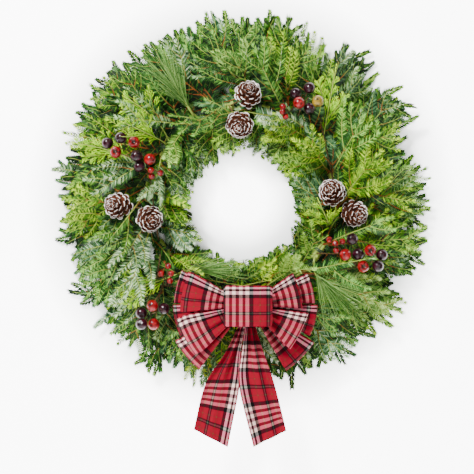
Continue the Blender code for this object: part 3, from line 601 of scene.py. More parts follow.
# Each bunch's main twigs as the part has them: name, then control and tip as x, z and depth in mm.
TWIGS = (
    ("outer 175 75 44 242 161 46", "inner 117 53 36 66 51 44", "front 156 62 80 194 128 89",
     "back 187 58 14 266 99 15", "crown 122 65 84 104 93 90", "lateral 173 116 42 175 153 48",
     "lateral 222 96 44 254 108 47"),
    ("outer 133 136 44 166 247 46", "inner 88 93 36 48 78 44", "back 151 125 14 201 203 15",
     "crown 87 107 84 61 121 90", "lateral 117 174 42 104 210 47", "lateral 169 175 43 195 198 47"),
    ("outer 70 176 44 75 290 46", "inner 45 120 36 14 85 44", "front 54 159 84 19 240 96",
     "back 91 174 14 110 269 15", "crown 40 132 84 4 137 90", "lateral 47 208 42 24 238 47",
     "lateral 96 224 43 115 253 47"),
    ("outer -2 190 44 -56 297 46", "inner -4 128 36 -23 83 44", "back 18 195 14 9 288 15",
     "crown -17 137 84 -49 127 90", "lateral -40 208 42 -74 224 47", "lateral -3 244 43 0 279 47"),
    ("outer -75 175 44 -154 239 46", "inner -53 117 36 -44 62 44", "back -58 187 14 -105 264 15",
     "crown -65 122 84 -98 110 90", "lateral -114 173 43 -152 175 48",
     "lateral -94 221 44 -106 254 48"),
    ("outer -136 133 44 -241 182 46", "inner -93 88 36 -56 36 44", "front -117 120 84 -197 127 96",
     "back -125 151 14 -206 212 15", "crown -107 87 84 -124 63 90", "lateral -175 123 42 -212 114 47",
     "lateral -170 175 43 -190 204 47"),
    ("outer -170 84 44 -285 106 46", "inner -120 45 36 -96 18 44", "front -159 54 84 -234 7 96",
     "back -174 91 14 -264 123 15", "crown -133 36 84 -148 -2 90", "lateral -214 116 44 -240 140 47"),
    ("outer -190 -2 44 -277 -51 46", "inner -128 -4 36 -92 -21 44", "front -167 -15 84 -225 -86 96",
     "back -195 18 14 -290 16 15", "lateral -203 -40 43 -218 -74 48", "lateral -239 -3 44 -274 -2 48"),
    ("outer -175 -75 44 -253 -161 46", "inner -117 -53 36 -80 -57 44",
     "front -151 -74 84 -184 -156 96", "back -187 -58 14 -268 -94 15",
     "lateral -177 -116 42 -180 -153 47", "lateral -225 -95 43 -258 -105 47"),
    ("outer -133 -136 44 -180 -237 46", "inner -88 -93 36 -51 -88 44",
     "back -151 -125 14 -214 -201 15", "crown -95 -100 84 -78 -123 90",
     "lateral -123 -174 42 -114 -211 48", "lateral -175 -169 44 -203 -189 47"),
    ("outer -70 -176 44 -77 -300 46", "inner -45 -120 36 -18 -104 44", "back -91 -174 14 -108 -270 15",
     "crown -29 -135 80 18 -144 83", "lateral -47 -210 42 -25 -241 47",
     "lateral -97 -226 43 -116 -256 47"),
    ("outer 2 -190 44 44 -297 46", "inner 4 -128 36 28 -102 44", "front -2 -168 78 48 -231 83",
     "back -18 -195 14 3 -285 15", "crown 14 -137 84 45 -132 90", "lateral 37 -210 42 70 -229 47",
     "lateral -3 -244 43 -8 -278 47"),
    ("outer 75 -175 44 170 -255 46", "inner 53 -117 36 60 -80 44", "back 58 -187 14 104 -273 15",
     "crown 65 -122 84 95 -105 90", "lateral 117 -176 42 155 -179 47",
     "lateral 98 -225 43 109 -258 47"),
    ("outer 136 -133 44 257 -184 46", "inner 93 -88 36 83 -52 44", "front 126 -111 88 213 -95 104",
     "back 125 -151 14 196 -215 15", "crown 107 -87 84 123 -59 90", "lateral 178 -123 42 214 -113 46",
     "lateral 175 -176 43 196 -204 46"),
    ("outer 176 -70 44 295 -65 46", "inner 120 -45 36 99 -15 44", "front 156 -62 84 237 -33 96",
     "back 174 -91 14 258 -123 15", "lateral 208 -43 42 236 -19 47", "lateral 226 -92 43 257 -108 47"),
    ("outer 190 2 44 296 47 46", "inner 128 4 36 85 23 44", "front 168 11 84 220 72 96",
     "back 195 -18 14 291 -9 15", "lateral 209 38 42 227 71 47", "lateral 244 -1 43 278 -5 47"),
)
LATERAL_SHARES = (0.42, 0.52)
ROOT_SHIFTS = {"outer": 3, "inner": -4, "front": 0, "back": 4, "crown": -2}
# Side shoots of each kind of twig: their places along it and their lengths in mm.
SIDE_SHOOTS = {
    "outer": ((0.34, 60), (0.50, 68), (0.72, 52), (0.86, 34)),
    "inner": ((0.42, 46), (0.62, 40), (0.80, 28)),
    "front": ((0.50, 74), (0.79, 46)),
    "back": ((0.38, 58), (0.51, 56), (0.64, 48), (0.77, 38)),
    "crown": ((0.52, 50), (0.78, 32)),
    "lateral": ((0.36, 42), (0.64, 32)),
}
# How much of each bunch is dark, middling, yellow-green and blue-green, by what grows where.
PALETTES = (
    (2, 3, 4, 1), (2, 3, 3, 2), (3, 3, 2, 2), (3, 3, 2, 1), (4, 3, 1, 1), (4, 3, 1, 1), (3, 3, 2, 1.5), (3, 3, 2, 2),
    (3, 3, 2, 2), (3, 3, 1, 2), (3, 3, 1, 2), (3, 3, 1, 2), (3, 3, 2, 1), (3, 3, 2, 1), (3, 3, 2, 1), (3, 3, 2, 1),
)
TONES = (((0.0, 0.15), (0.0, 0.1)), ((0.2, 0.45), (0.0, 0.2)), ((0.65, 1.0), (0.0, 0.0)), ((0.0, 0.1), (0.5, 1.0)))
# The clear hole, as x and z from the ring's middle and radius, and the rim that no needle passes, in mm.
HOLE = (3, -15, 82)
RIM, RIM_ASIDE = 328, 314


class Way:
    """The line that a twig takes: from its root past a control point to its tip, with its face to the front."""

    def __init__(self, root, control, tip, face=FORWARD, roll=0.0):
        self.root, self.control, self.tip = root, control, tip
        chord = (tip - root).normalized()
        self.left = Matrix.Rotation(roll, 3, chord) @ face.cross(chord).normalized()
        self.length = sum((self.at((k + 1) / 6) - self.at(k / 6)).length for k in range(6))

    def at(self, t):
        return self.root * (1 - t) ** 2 + self.control * (2 * t * (1 - t)) + self.tip * t * t

    def axes(self, t):
        t = min(t, 1.0)
        along = ((self.control - self.root) * (1 - t) + (self.tip - self.control) * t).normalized()
        left = (self.left - along * self.left.dot(along)).normalized()
        return along, left, along.cross(left)

    def side_way(self, t, angle, length, lift):
        """A side twig that leaves at this angle and bends forward along its parent."""
        root = self.at(t)
        along, left, out = self.axes(t)
        ahead = along * math.cos(angle) + left * math.sin(angle)
        tip = root + (ahead * 0.68 + along * 0.32).normalized() * length + out * lift
        return Way(root, root + ahead * length * 0.5 + out * lift * 0.2, tip, out)


def put(bm, mesh, length, way, recolour):
    """Bends a straight mesh of this length along a way and adds it, without the needles that are blocked."""
    piece = copied(mesh)
    tone, number = layers_of(piece)
    lost = set()
    for vert in piece.verts:
        x, y, z = vert.co
        t = x / length
        _, left, out = way.axes(t)
        vert.co = way.at(t) + left * y + out * z
        vert[tone] = recolour(vert[tone][0], t)
        ident = vert[number]
        if ident and ident not in lost and blocked(vert.co):
            lost.add(ident)
    if lost:
        bmesh.ops.delete(piece, geom=[v for v in piece.verts if v[number] in lost], context="VERTS")
    join(bm, piece)


def needle_mesh():
    """One needle along X, a millimetre long, to be stretched: narrow at its foot, flat above and keeled below."""
    bm = tinted()
    bmesh.ops.create_circle(bm, cap_ends=True, segments=3, radius=0.5)
    half = NEEDLE_WIDTH / 2
    for vert, (y, z) in zip(bm.verts, ((half, 0.25), (-half, 0.25), (0, -0.75))):
        vert.co = Vector((0.3, y, z * NEEDLE_THICKNESS))
    bmesh.ops.poke(bm, faces=bm.faces)["verts"][0].co = Vector((1, 0, 0.1))
    foot = bmesh.ops.holes_fill(bm, edges=[edge for edge in bm.edges if edge.is_boundary])["faces"]
    bmesh.ops.poke(bm, faces=foot)["verts"][0].co = Vector((0, 0, 0))
    bmesh.ops.recalc_face_normals(bm, faces=bm.faces)
    for face in bm.faces:
        face.material_index = 0 if face.normal.z > 0.3 else 1
    return as_mesh(bm, "needle")


NEEDLE = needle_mesh()


def grow(bm, mesh, matrix, shade, ident):
    """Adds one copy of a mesh, and notes its shade and its number."""
    piece = copied(mesh)
    tone, number = layers_of(piece)
    for vert in piece.verts:
        vert.co = matrix @ vert.co
        vert[tone] = (shade, 0, 0, 1)
        vert[number] = ident
    join(bm, piece)


def stalk(bm, length, radius, tip_radius, sides, cuts, index):
    """A tapered stalk along X from the start, ready to be bent."""
    turn = Matrix.Rotation(math.pi / 2, 4, "Y")
    made = bmesh.ops.create_cone(
        bm, cap_ends=True, segments=sides, radius1=radius, radius2=tip_radius, depth=length,
        matrix=Matrix.Translation((length / 2, 0, 0)) @ turn,
    )
    long_edges = [
        edge for edge in edges_of(made["verts"]) if abs(edge.verts[0].co.x - edge.verts[1].co.x) > length / 2
    ]
    bmesh.ops.subdivide_edges(bm, edges=long_edges, cuts=cuts)
    tone = layers_of(bm)[0]
    for vert in bm.verts:
        vert[tone] = (vert.co.x / length, 0, 0, 1)
    for face in bm.faces:
        face.material_index = index


def shoot_mesh(length, bare, needle, style):
    """A straight shoot of this length, whose needles start past its bare end. A comb has them to both sides, a
    full shoot above too, and a backing shoot, for the depths of the wreath, has wider ones."""
    draws = random.Random(f"{style} {length}")
    bm = tinted()
    stalk(bm, length, 0.55 + length * 0.005, 0.4, 5, max(2, round(length / 18)), 2)
    width = BACKING_WIDTH if style == "backing" else 1
    ident, x = 1, 4 if style == "backing" else bare
    while x < length - 0.5:
        share = max(0, (x - bare) / (length - bare))
        reach = needle * (0.8 + 0.2 * math.sin(math.pi * min(1, share * 1.6)) - 0.42 * share**4)
        slant = math.radians(64 - 24 * share**1.5)
        rows = [(1, draws.uniform(0, 12)), (-1, draws.uniform(0, 12))]
        if style == "full":
            rows.append((draws.choice((1, -1)), draws.uniform(34, 66)))
        for side, rise in rows:
            turn = slant + math.radians(draws.uniform(-4, 4) - rise * 0.25)
            size = reach * draws.uniform(0.9, 1.06)
            matrix = Matrix.Translation((x + draws.uniform(-0.3, 0.3), 0, 0))
            matrix @= Matrix.Rotation(side * math.radians(rise), 4, "X")
            matrix @= Matrix.Rotation(side * turn, 4, "Z")
            matrix @= Matrix.Diagonal((size, width, 1, 1))
            grow(bm, NEEDLE, matrix, draws.choice((draws.uniform(0, 0.5), draws.uniform(0.5, 1))), ident)
            ident += 1
        x += NEEDLE_PITCH
    for k in range(5):
        turn = math.radians((k - 2) * 17 + draws.uniform(-4, 4))
        matrix = Matrix.Translation((length - 1.5, 0, 0))
        matrix @= Matrix.Rotation(math.radians(draws.uniform(-50, 50)), 4, "X")
        size = needle * draws.uniform(0.42, 0.6)
        matrix @= Matrix.Rotation(turn, 4, "Z") @ Matrix.Diagonal((size, width, 1, 1))
        grow(bm, NEEDLE, matrix, draws.uniform(0.5, 1), ident)
        ident += 1
    bmesh.ops.scale(bm, vec=(MM, MM, MM), verts=bm.verts)
    return as_mesh(bm, "shoot")


# Each size of shoot: its length, its bare end and its longest needle.
SHOOT_SIZES = (
    (24, 2, 9.5), (34, 2.5, 12), (46, 3, 13.5), (60, 3, 14.5), (84, 14, 15), (112, 36, 15.5), (150, 44, 16),
)
SHOOTS = {
    style: [(size[0] * MM, shoot_mesh(*size, style)) for size in SHOOT_SIZES] for style in ("comb", "full", "backing")
}


def blocked(point):
    """Whether a needle here would be in the hole, past the rim, or in or before a cone, a fruit or the bow."""
    x, depth, z = point.x / MM, WALL_GAP - point.y / MM, point.z / MM - RING_Z
    if math.hypot(x - HOLE[0], z - HOLE[1]) < HOLE[2] or abs(x) > RIM_ASIDE or math.hypot(x, z) > RIM or depth < 2:
        return True
    for (cx, cz, cd), radius in KEEP_CLEAR:
        if math.hypot(x - cx, z - cz) < radius and depth > cd:
            return True
    return depth > BOW_DEPTH and in_bow(x - BOW_X, z - BOW_Z, depth)


def lay(bm, way, style, yellow, blue, bright):
    """Lays a shoot of about the right length along a way, a little lighter to its tip."""
    length, mesh = min(SHOOTS[style], key=lambda shoot: abs(shoot[0] - way.length))

    def recolour(shade, t):
        return min(1, max(0, shade + bright + 0.3 * (t - 0.6))), yellow, blue, 1

    put(bm, mesh, length, way, recolour)


def clear_way(way):
    """Whether the bare line of a twig stays out of the hole, the cones, the fruits and the bow."""
    return not any(blocked(way.at(t)) for t in (0.3, 0.45, 0.6, 0.75, 0.9, 1.0))


def buried(point):
    """How deep a point lies under the wreath's round face, from 0 at the face to 1 at the wall."""
    radius = math.hypot(point.x, point.z - RING_Z * MM) / MM
    crest = 14 + 82 * max(0, 1 - ((radius - 190) / 112) ** 2)
    return min(1, max(0, 1 - (WALL_GAP - point.y / MM) / crest))


def spray(bm, kind, way, draws, palette):
    """A twig and its side shoots, all of one colour, darkened by painted shade the lower they lie under the wreath's
    face.
    """
    yellows, blues = draws.choices(TONES, weights=palette)[0]
    yellow, blue = draws.uniform(*yellows), draws.uniform(*blues)
    hidden = buried(way.at(0.6))
    style = "backing" if hidden > 0.6 else draws.choice(("comb", "comb", "full"))
    # Painted shade: a twig lying low under the wreath's face, near the wall, is painted darker.
    bright = draws.uniform(-0.1, 0.3) - 0.8 * hidden
    lay(bm, way, style, yellow, blue, bright)
    hand = draws.choice((1, -1))
    for t, length in SIDE_SHOOTS[kind]:
        for side in (hand, -hand):
            if draws.random() < (0.05 if kind in ("front", "crown") else 0.2):
                continue
            angle = side * math.radians(draws.uniform(38, 54))
            size = length * draws.uniform(0.8, 1.15) * MM
            shoot = way.side_way(t + draws.uniform(-0.04, 0.04), angle, size, draws.uniform(-4, 7) * MM)
            if clear_way(shoot):
                # Painted shade: a side shoot is painted lighter where it lies higher than its twig, and darker where
                # it lies lower.
                painted_depth_shade = 0.5 * (hidden - buried(shoot.at(0.6)))
                lay(bm, shoot, style, yellow, blue, bright + painted_depth_shade + draws.uniform(-0.2, 0.2))


def butts(bm, index):
    """The cut ends of the stems, seven bundled in the clamp."""
    draws = random.Random(index)
    tone = layers_of(bm)[0]
    for k in range(7):
        turn = k * math.pi / 3
        spot = Vector((math.cos(turn), math.sin(turn), 0)) * 5.1 if k else Vector((0, 0, 0))
        size = 2.7 + draws.uniform(-0.3, 0.1)
        shift = Vector((0, 0, draws.uniform(-3, 1)))
        made = bmesh.ops.create_cone(
            bm, cap_ends=True, segments=10, radius1=size, radius2=size * 0.95, depth=32 - draws.uniform(0, 4),
            matrix=clamp_place(index) @ Matrix.Scale(MM, 4) @ Matrix.Translation(spot + shift),
        )
        for vert in made["verts"]:
            vert[tone] = (0.4, 0, 0, 1)
        for face in faces_of(made["verts"]):
            face.material_index = 2


# The tips of each bunch's further twigs: how far from the ring's middle in mm, and how high, as shares of the
# height of the wreath's face there.
MORE_TIPS = (
    (86, 0.2, 0.8), (88, 0.1, 0.5), (92, 0.2, 0.9), (98, 0.4, 0.9), (112, 0.6, 1), (150, 0.8, 1.05), (195, 0.85, 1.05),
    (232, 0.6, 1), (250, 0.4, 0.9), (264, 0.3, 0.8), (276, 0.2, 0.8), (286, 0.1, 0.7), (292, 0.1, 0.6),
    (298, 0.1, 0.5), (303, 0.1, 0.4), (112, 0.1, 0.25), (150, 0.15, 0.3), (200, 0.15, 0.3), (245, 0.1, 0.25),
    (275, 0.1, 0.25), (128, 0.12, 0.3), (142, 0.15, 0.35), (158, 0.2, 0.4), (180, 0.12, 0.3), (215, 0.2, 0.4),
)
# How far the wreath's outer edge stands out in mm, from its right side anticlockwise, every 15 degrees.
EDGE = (3, 0, -4, 3, 15, -3, 3, -9, -2, -3, -2, -4, -6, 4, 0, 6, 15, 6, 6, 6, 18, 16, 0, 0)


def over_greens(tip):
    """Whether a twig with this tip would cover a white pine tuft or a cedar frond."""
    return any(
        (tip - at(*point)).length < 62 * MM and tip.y < at(*point).y + 30 * MM
        for _, _, middle, end in PINES + CEDARS for point in (middle, end)
    )


def extra_ways(index, draws):
    """More twigs between the part's own, low at the ring's edges and high over its middle."""
    start = clamp_angle(index)
    for radius, low, high in MORE_TIPS:
        radius += draws.uniform(-6, 6)
        crest = 38 + 50 * max(0, 1 - ((radius - 185) / 105) ** 2)
        depth = max(8, crest * draws.uniform(low, high))
        turn = draws.uniform(12, 36)
        if radius > 255:
            radius += EDGE[int((start + turn) / 15) % 24]
        root = round_ring(start + 3.4, RING_RADIUS + draws.uniform(-4, 4), NECK_DEPTH)
        middle = round_ring(start + turn * 0.5, 0.4 * radius + 0.6 * RING_RADIUS + 8, depth * 0.75 + 10)
        kind = "inner" if radius < 130 else "outer" if radius > 230 else "front"
        if high < 0.5:
            turn = draws.uniform(-14, 28)
        elif over_greens(round_ring(start + turn, radius, depth)):
            continue
        yield kind, Way(root, middle, round_ring(start + turn, radius, depth), *facing(draws))


def facing(draws):
    """Which way a twig's upper side looks: mostly to the front, at times to the wall."""
    face = -FORWARD if draws.random() < 0.12 else FORWARD
    return face, math.radians(draws.gauss(0, 20))


def fir_bunch(index):
    draws = random.Random(500 + index)
    bm = tinted()
    butts(bm, index)
    laterals = 0
    ways = []
    for entry in TWIGS[index]:
        kind, *numbers = entry.split()
        numbers = [float(number) for number in numbers]
        control, tip = at(*numbers[:3]), at(*numbers[3:])
        if kind == "lateral":
            root = ways[0][1].at(LATERAL_SHARES[laterals])
            laterals += 1
        else:
            shift = ROOT_SHIFTS[kind]
            root = round_ring(clamp_angle(index) + 3.4, RING_RADIUS + shift, NECK_DEPTH + 0.2 * shift)
        ways.append((kind, Way(root, control, tip, *facing(draws))))
    ways += [(kind, way) for kind, way in extra_ways(index, draws) if clear_way(way)]
    for kind, way in ways:
        spray(bm, kind, way, draws, PALETTES[index])
    name = f"fir_bunch_{index + 1:02d}"
    finished(name + "_twigs", bm, [FIR_TOP, FIR_UNDER, BARK], [name])


# Cones, seen end-on, and fruits on wired stems.


def cone_scale_wood():
    """Dry pine cone: red-brown woody scales, matt, their thick ends brushed with white frost."""
    made, tree, shader = material("cone_scale_wood", 0.8, 0.1)
    chance, outward, _ = tone_of(tree)
    # The wood's grain, 2.4 mm apart.
    grain = mottle(tree, 420, 4)
    wood = add(tree, "ValToRGB", {"Fac": grain}, [(0.3, "#1E0D08"), (0.55, "#4E2818"), (0.75, "#80492E")])[0]
    wood = darkened(tree, wood, chance, [(0, 0.65), (1, 1.0)])
    outward = add(tree, "Math", {0: outward, 1: 0.45}, operation="SUBTRACT")[0]
    patchy = add(tree, "Math", {0: grain, 1: 0.6, 2: outward}, operation="MULTIPLY_ADD")[0]
    patchy = add(tree, "Math", {0: chance, 1: 0.22, 2: patchy}, operation="MULTIPLY_ADD")[0]
    frost = add(tree, "ValToRGB", {"Fac": patchy}, [(0.75, 0.0), (0.92, 1.0)])[0]
    colour = add(tree, "Mix", {0: frost, 6: wood, 7: "#F3ECE6"}, data_type="RGBA")[2]
    dress(shader, colour, grain, 0.4)
    return made


def wire_wrap():
    """The paper tape round a pick's wire: brown-green, matt, wound in turns about 2 mm wide."""
    made, tree, shader = material("pick_tape", 0.85, 0.2)
    place = add(tree, "TexCoord")["Object"]
    turns = add(tree, "TexWave", {"Vector": place, "Scale": 160, "Distortion": 1.5}, bands_direction="DIAGONAL")[0]
    dress(shader, add(tree, "ValToRGB", {"Fac": turns}, [(0, "#3B2A18"), (1, "#5E4A28")])[0], turns, 0.2)
    return made


def lacquered_fruit(name, deep, middle, light):
    """Dipped foam fruit: a thick clear gloss over colour mottled every 6 mm, with sharp highlights."""
    gloss = {"name": name, "roughness": 0.35, "specular": 0.08, "coat_weight": 0.5, "coat_roughness": 0.03}
    return mottled(gloss, 170, 4, [(0.3, deep), (0.5, middle), (0.72, light)], 0.12, 0.5)


CONE_WOOD, TAPE = cone_scale_wood(), wire_wrap()
LACQUERS = {
    "red": lacquered_fruit("fruit_red_lacquer", "#3C0205", "#6C040A", "#980A10"),
    "dark": lacquered_fruit("fruit_dark_lacquer", "#080104", "#1A030A", "#340818"),
    "olive": lacquered_fruit("fruit_olive_lacquer", "#463C0C", "#6E5A14", "#96781E"),
}
# The dry blossom end of a fruit: dark brown, under the same gloss.
CALYX = lacquered_fruit("fruit_calyx", "#120A08", "#241610", "#3A261A")


def cone_scale_mesh():
    """One scale along X, a millimetre long: a narrow foot, a spread blade and a thick ridged end."""
    bm = tinted()
    bmesh.ops.create_cube(bm, size=1, matrix=Matrix.Translation((0.5, 0, 0)))
    bmesh.ops.subdivide_edges(bm, edges=bm.edges, cuts=2, use_grid_fill=True)
    tone = layers_of(bm)[0]
    for vert in bm.verts:
        x, y, z = vert.co
        vert[tone] = (0.5, 0.45 + 1.1 * z if x > 0.9 else 0, 0, 1)
        width = 0.3 + 0.5 * math.sin(min(1, x * 1.05) * math.pi * 0.5) ** 1.5
        thick = 0.07 + 0.10 * x**3
        x -= 0.45 * y * y * x + 0.1 * z * z * x
        ridge = 0.10 * x**4 if abs(y) < 0.2 and z > 0 else 0
        vert.co = Vector((x, y * width, z * thick * 1.6 + 0.22 * x * x + ridge - 0.1 * y * y))
    return as_mesh(bm, "cone_scale")


def tape_bar(bm, points, radius, index, sides=8):
    """A round bar of taped wire through the points."""
    rings, verts = [], []
    for k, point in enumerate(points):
        before, after = points[max(0, k - 1)], points[min(len(points) - 1, k + 1)]
        turned = (after - before).to_track_quat("Z", "Y").to_matrix().to_4x4()
        made = bmesh.ops.create_circle(
            bm, cap_ends=k in (0, len(points) - 1), segments=sides, radius=radius,
            matrix=Matrix.Translation(point) @ turned,
        )
        rings.append(edges_of(made["verts"]))
        verts += made["verts"]
    for first, second in zip(rings, rings[1:]):
        for face in bmesh.ops.bridge_loops(bm, edges=first + second)["faces"]:
            face.smooth = True
    for face in faces_of(verts):
        face.material_index = index


def cone(name, spot, tilt, seat, scale_mesh):
    base = at(*spot)
    axis = (FORWARD + Vector((tilt[0], 0, tilt[1]))).normalized()
    turned = axis.to_track_quat("Z", "Y").to_matrix().to_4x4()
    draws = random.Random(name)
    bm = tinted()
    made = bmesh.ops.create_cone(bm, cap_ends=True, segments=16, radius1=8, radius2=2.5, depth=CONE_HEIGHT - 6)
    bmesh.ops.translate(bm, vec=(0, 0, CONE_HEIGHT / 2 - 2), verts=made["verts"])
    for k in range(CONE_SCALES):
        share = k / (CONE_SCALES - 1)
        height = 1 + (CONE_HEIGHT - 7) * share**0.9
        lift = math.radians(-18 + 88 * share**1.25 + draws.uniform(-5, 5))
        length = (18.5 - 10.5 * share**2.2) * draws.uniform(0.94, 1.05)
        core = 6.5 - 4.5 * share
        width = (13.5 - 6.5 * share) * draws.uniform(0.92, 1.06)
        matrix = Matrix.Rotation(math.radians(GOLDEN_ANGLE * k), 4, "Z") @ Matrix.Translation((core - 2, 0, height))
        matrix @= Matrix.Rotation(-lift, 4, "Y") @ Matrix.Diagonal((length, width, 10, 1))
        piece, chance = copied(scale_mesh), draws.random()
        tone = layers_of(piece)[0]
        for vert in piece.verts:
            vert.co = matrix @ vert.co
            vert[tone] = (chance, vert[tone][1], 0, 1)
        join(bm, piece)
    bmesh.ops.transform(bm, matrix=Matrix.Translation(base) @ turned @ Matrix.Scale(MM, 4), verts=bm.verts)
    back = base - axis * 3 * MM
    tape_bar(bm, [at(*seat, SEAT_DEPTH), at(*seat, SEAT_DEPTH + 4), back, base + axis * 4 * MM], 1.1 * MM, 1)
    finished(name + "_scales", bm, [CONE_WOOD, TAPE], [name], True)


def fruit(bm, centre, radius, hip, draws):
    """A round fruit, its blossom end drawn in, with a dry five-pointed calyx there."""
    made = bmesh.ops.create_uvsphere(bm, u_segments=28, v_segments=18, radius=radius)
    mouth = 0.52 if hip else 0.24
    deep = 0.55 if hip else 0.16
    for vert in made["verts"]:
        off = math.hypot(vert.co.x, vert.co.y) / radius
        if vert.co.z > 0 and off < mouth:
            vert.co.z -= radius * deep * (1 - (off / mouth) ** 2)
        vert.co.z *= 1.05 - 0.1 * off
    for face in faces_of(made["verts"]):
        centre_off = math.hypot(*face.calc_center_median().xy) / radius
        face.material_index = 1 if face.calc_center_median().z > 0 and centre_off < mouth * 0.7 else 0
        face.smooth = True
    points = list(made["verts"])
    for k in range(5):
        turn = Matrix.Rotation(math.radians(72 * k + draws.uniform(-8, 8)), 4, "Z")
        lean = Matrix.Rotation(math.radians(52 if hip else 68), 4, "Y")
        size = radius * (0.36 if hip else 0.26)
        spot = Vector((radius * mouth * (0.7 if hip else 0.2), 0, radius * (0.72 if hip else 0.84)))
        sepal = bmesh.ops.create_cone(
            bm, cap_ends=True, segments=4, radius1=size * 0.3, radius2=0.02 * size, depth=size,
            matrix=turn @ Matrix.Translation(spot) @ lean @ Matrix.Translation((0, 0, size / 2)),
        )
        for face in faces_of(sepal["verts"]):
            face.material_index = 1
        points += sepal["verts"]
    tilt = Matrix.Rotation(draws.uniform(-0.5, 0.5), 4, "X") @ Matrix.Rotation(draws.uniform(-0.5, 0.5), 4, "Y")
    if hip:
        tilt = Matrix.Rotation(draws.uniform(-0.12, 0.12), 4, "X")
    bmesh.ops.transform(bm, matrix=Matrix.Translation(centre) @ UPRIGHT @ tilt, verts=points)


def build_cones_and_fruits():
    scale_mesh = cone_scale_mesh()
    for entry in CONES:
        cone(*entry, scale_mesh)
    for name, (seat, hub) in STEMS.items():
        cluster, colour = name.rsplit("_", 1)
        spots = [
            (at(*place), FRUIT_RADII[kind] * MM, place in HIPS)
            for group, own, kind, places in FRUITS if (group, own) == (cluster, colour) for place in places
        ]
        start, middle = at(*seat, SEAT_DEPTH + 4), at(*hub)
        along = (middle - start).normalized()
        spots.sort(key=lambda spot: (spot[0] - middle).length, reverse=True)
        bm = bmesh.new()
        draws = random.Random(name)
        for k, (centre, radius, hip) in enumerate(spots):
            root = middle - along * k * 3.2 * MM
            fruit(bm, centre, radius, hip, draws)
            behind = centre + (root - centre).normalized() * radius * 0.9
            tape_bar(bm, [root, root.lerp(behind, 0.5), behind], 0.95 * MM, 2)
        tape_bar(bm, [at(*seat, SEAT_DEPTH), start, middle, middle + along * 2 * MM], 1.1 * MM, 2)
        finished(f"{name}_fruits", bm, [LACQUERS[colour], CALYX, TAPE], [name], None)


# Cedar fronds, white pine tufts, and the ring with its clamps and the bow's tie.


def cord_mesh(length):
    """A cedar branchlet: a flat cord of paired scale leaves along X."""
    draws = random.Random(length)
    bm = tinted()
    stalk(bm, length, 0.5, 0.3, 3, 3, 0)
    x, ident = 0.5, 1
    while x < length:
        shade = 0.35 + 0.6 * x / length
        for side in (1, -1):
            matrix = Matrix.Translation((x, 0, 0)) @ Matrix.Rotation(side * math.radians(24), 4, "Z")
            matrix @= Matrix.Diagonal((2.7 - 0.9 * x / length, 0.5, 1.0, 1))
            grow(bm, NEEDLE, matrix, min(1, shade + draws.uniform(-0.15, 0.15)), ident)
            ident += 1
        x += 2.1
    bmesh.ops.scale(bm, vec=(MM, MM, MM), verts=bm.verts)
    for face in bm.faces:
        face.material_index = 0
    return as_mesh(bm, "cord")


def sprig(bm, cord, way, bright):
    """Lays a cedar cord along a way."""
    length, mesh = cord
    put(bm, mesh, length, way, lambda shade, t: (min(1, max(0, shade + bright)), 0, 0, 1))


def cedar(name, seat, control, tip, cords):
    draws = random.Random(name)
    bm = tinted()
    way = Way(at(*seat, SEAT_DEPTH + 4), at(*control), at(*tip), FORWARD, math.radians(draws.uniform(-15, 15)))
    fronds = [(way, 0.34)]
    for share, angle in ((0.5, -42), (0.62, 42)):
        fronds.append((way.side_way(share, math.radians(angle), 46 * MM, 3 * MM), 0.14))
    for frond, bare in fronds:
        tape_bar(bm, [frond.at(k / 8) for k in range(9)], (0.9 if frond is way else 0.6) * MM, 1, 6)
        sprig(bm, cords[1], Way(frond.at(0.75), frond.at(0.88), frond.at(1.06)), 0.1)
        t, hand = bare, 1
        while t < 0.97:
            size = (29 - 15 * t**2) * draws.uniform(0.85, 1.1) * (1 if frond is way else 0.75)
            twig = frond.side_way(t, hand * math.radians(draws.uniform(30, 40)), size * MM, draws.uniform(-5, 6) * MM)
            hand = -hand
            t += draws.uniform(6.6, 8.2) * MM / frond.length
            if not clear_way(twig):
                continue
            sprig(bm, cords[1], twig, draws.uniform(-0.35, 0.15))
            for k, share in enumerate((0.26, 0.44, 0.62, 0.78)):
                small = size * (0.6 - 0.4 * share) * draws.uniform(0.85, 1.15)
                side = -hand * (1 if k % 2 else -1)
                last = twig.side_way(share, side * math.radians(36), small * MM, draws.uniform(-2, 3) * MM)
                sprig(bm, cords[0], last, draws.uniform(-0.3, 0.25))
    tape_bar(bm, [at(*seat, SEAT_DEPTH), at(*seat, SEAT_DEPTH + 4), way.at(0.08)], 1.6 * MM, 1)
    finished(name + "_frond", bm, [CEDAR_SCALES, BARK], [name])


# White pine: the stem's radius, a needle's width, and the bundles of four needles along a tuft.
PINE_STEM, PINE_NEEDLE_WIDTH, WHORLS = 1.9, 1.25, 34


def long_needle_mesh():
    """A white pine needle along X, a millimetre long, fine and three-sided, in enough lengths to bend."""
    bm = tinted()
    stalk(bm, 1.0, 0.5, 0.16, 3, 4, 0)
    return as_mesh(bm, "long_needle")


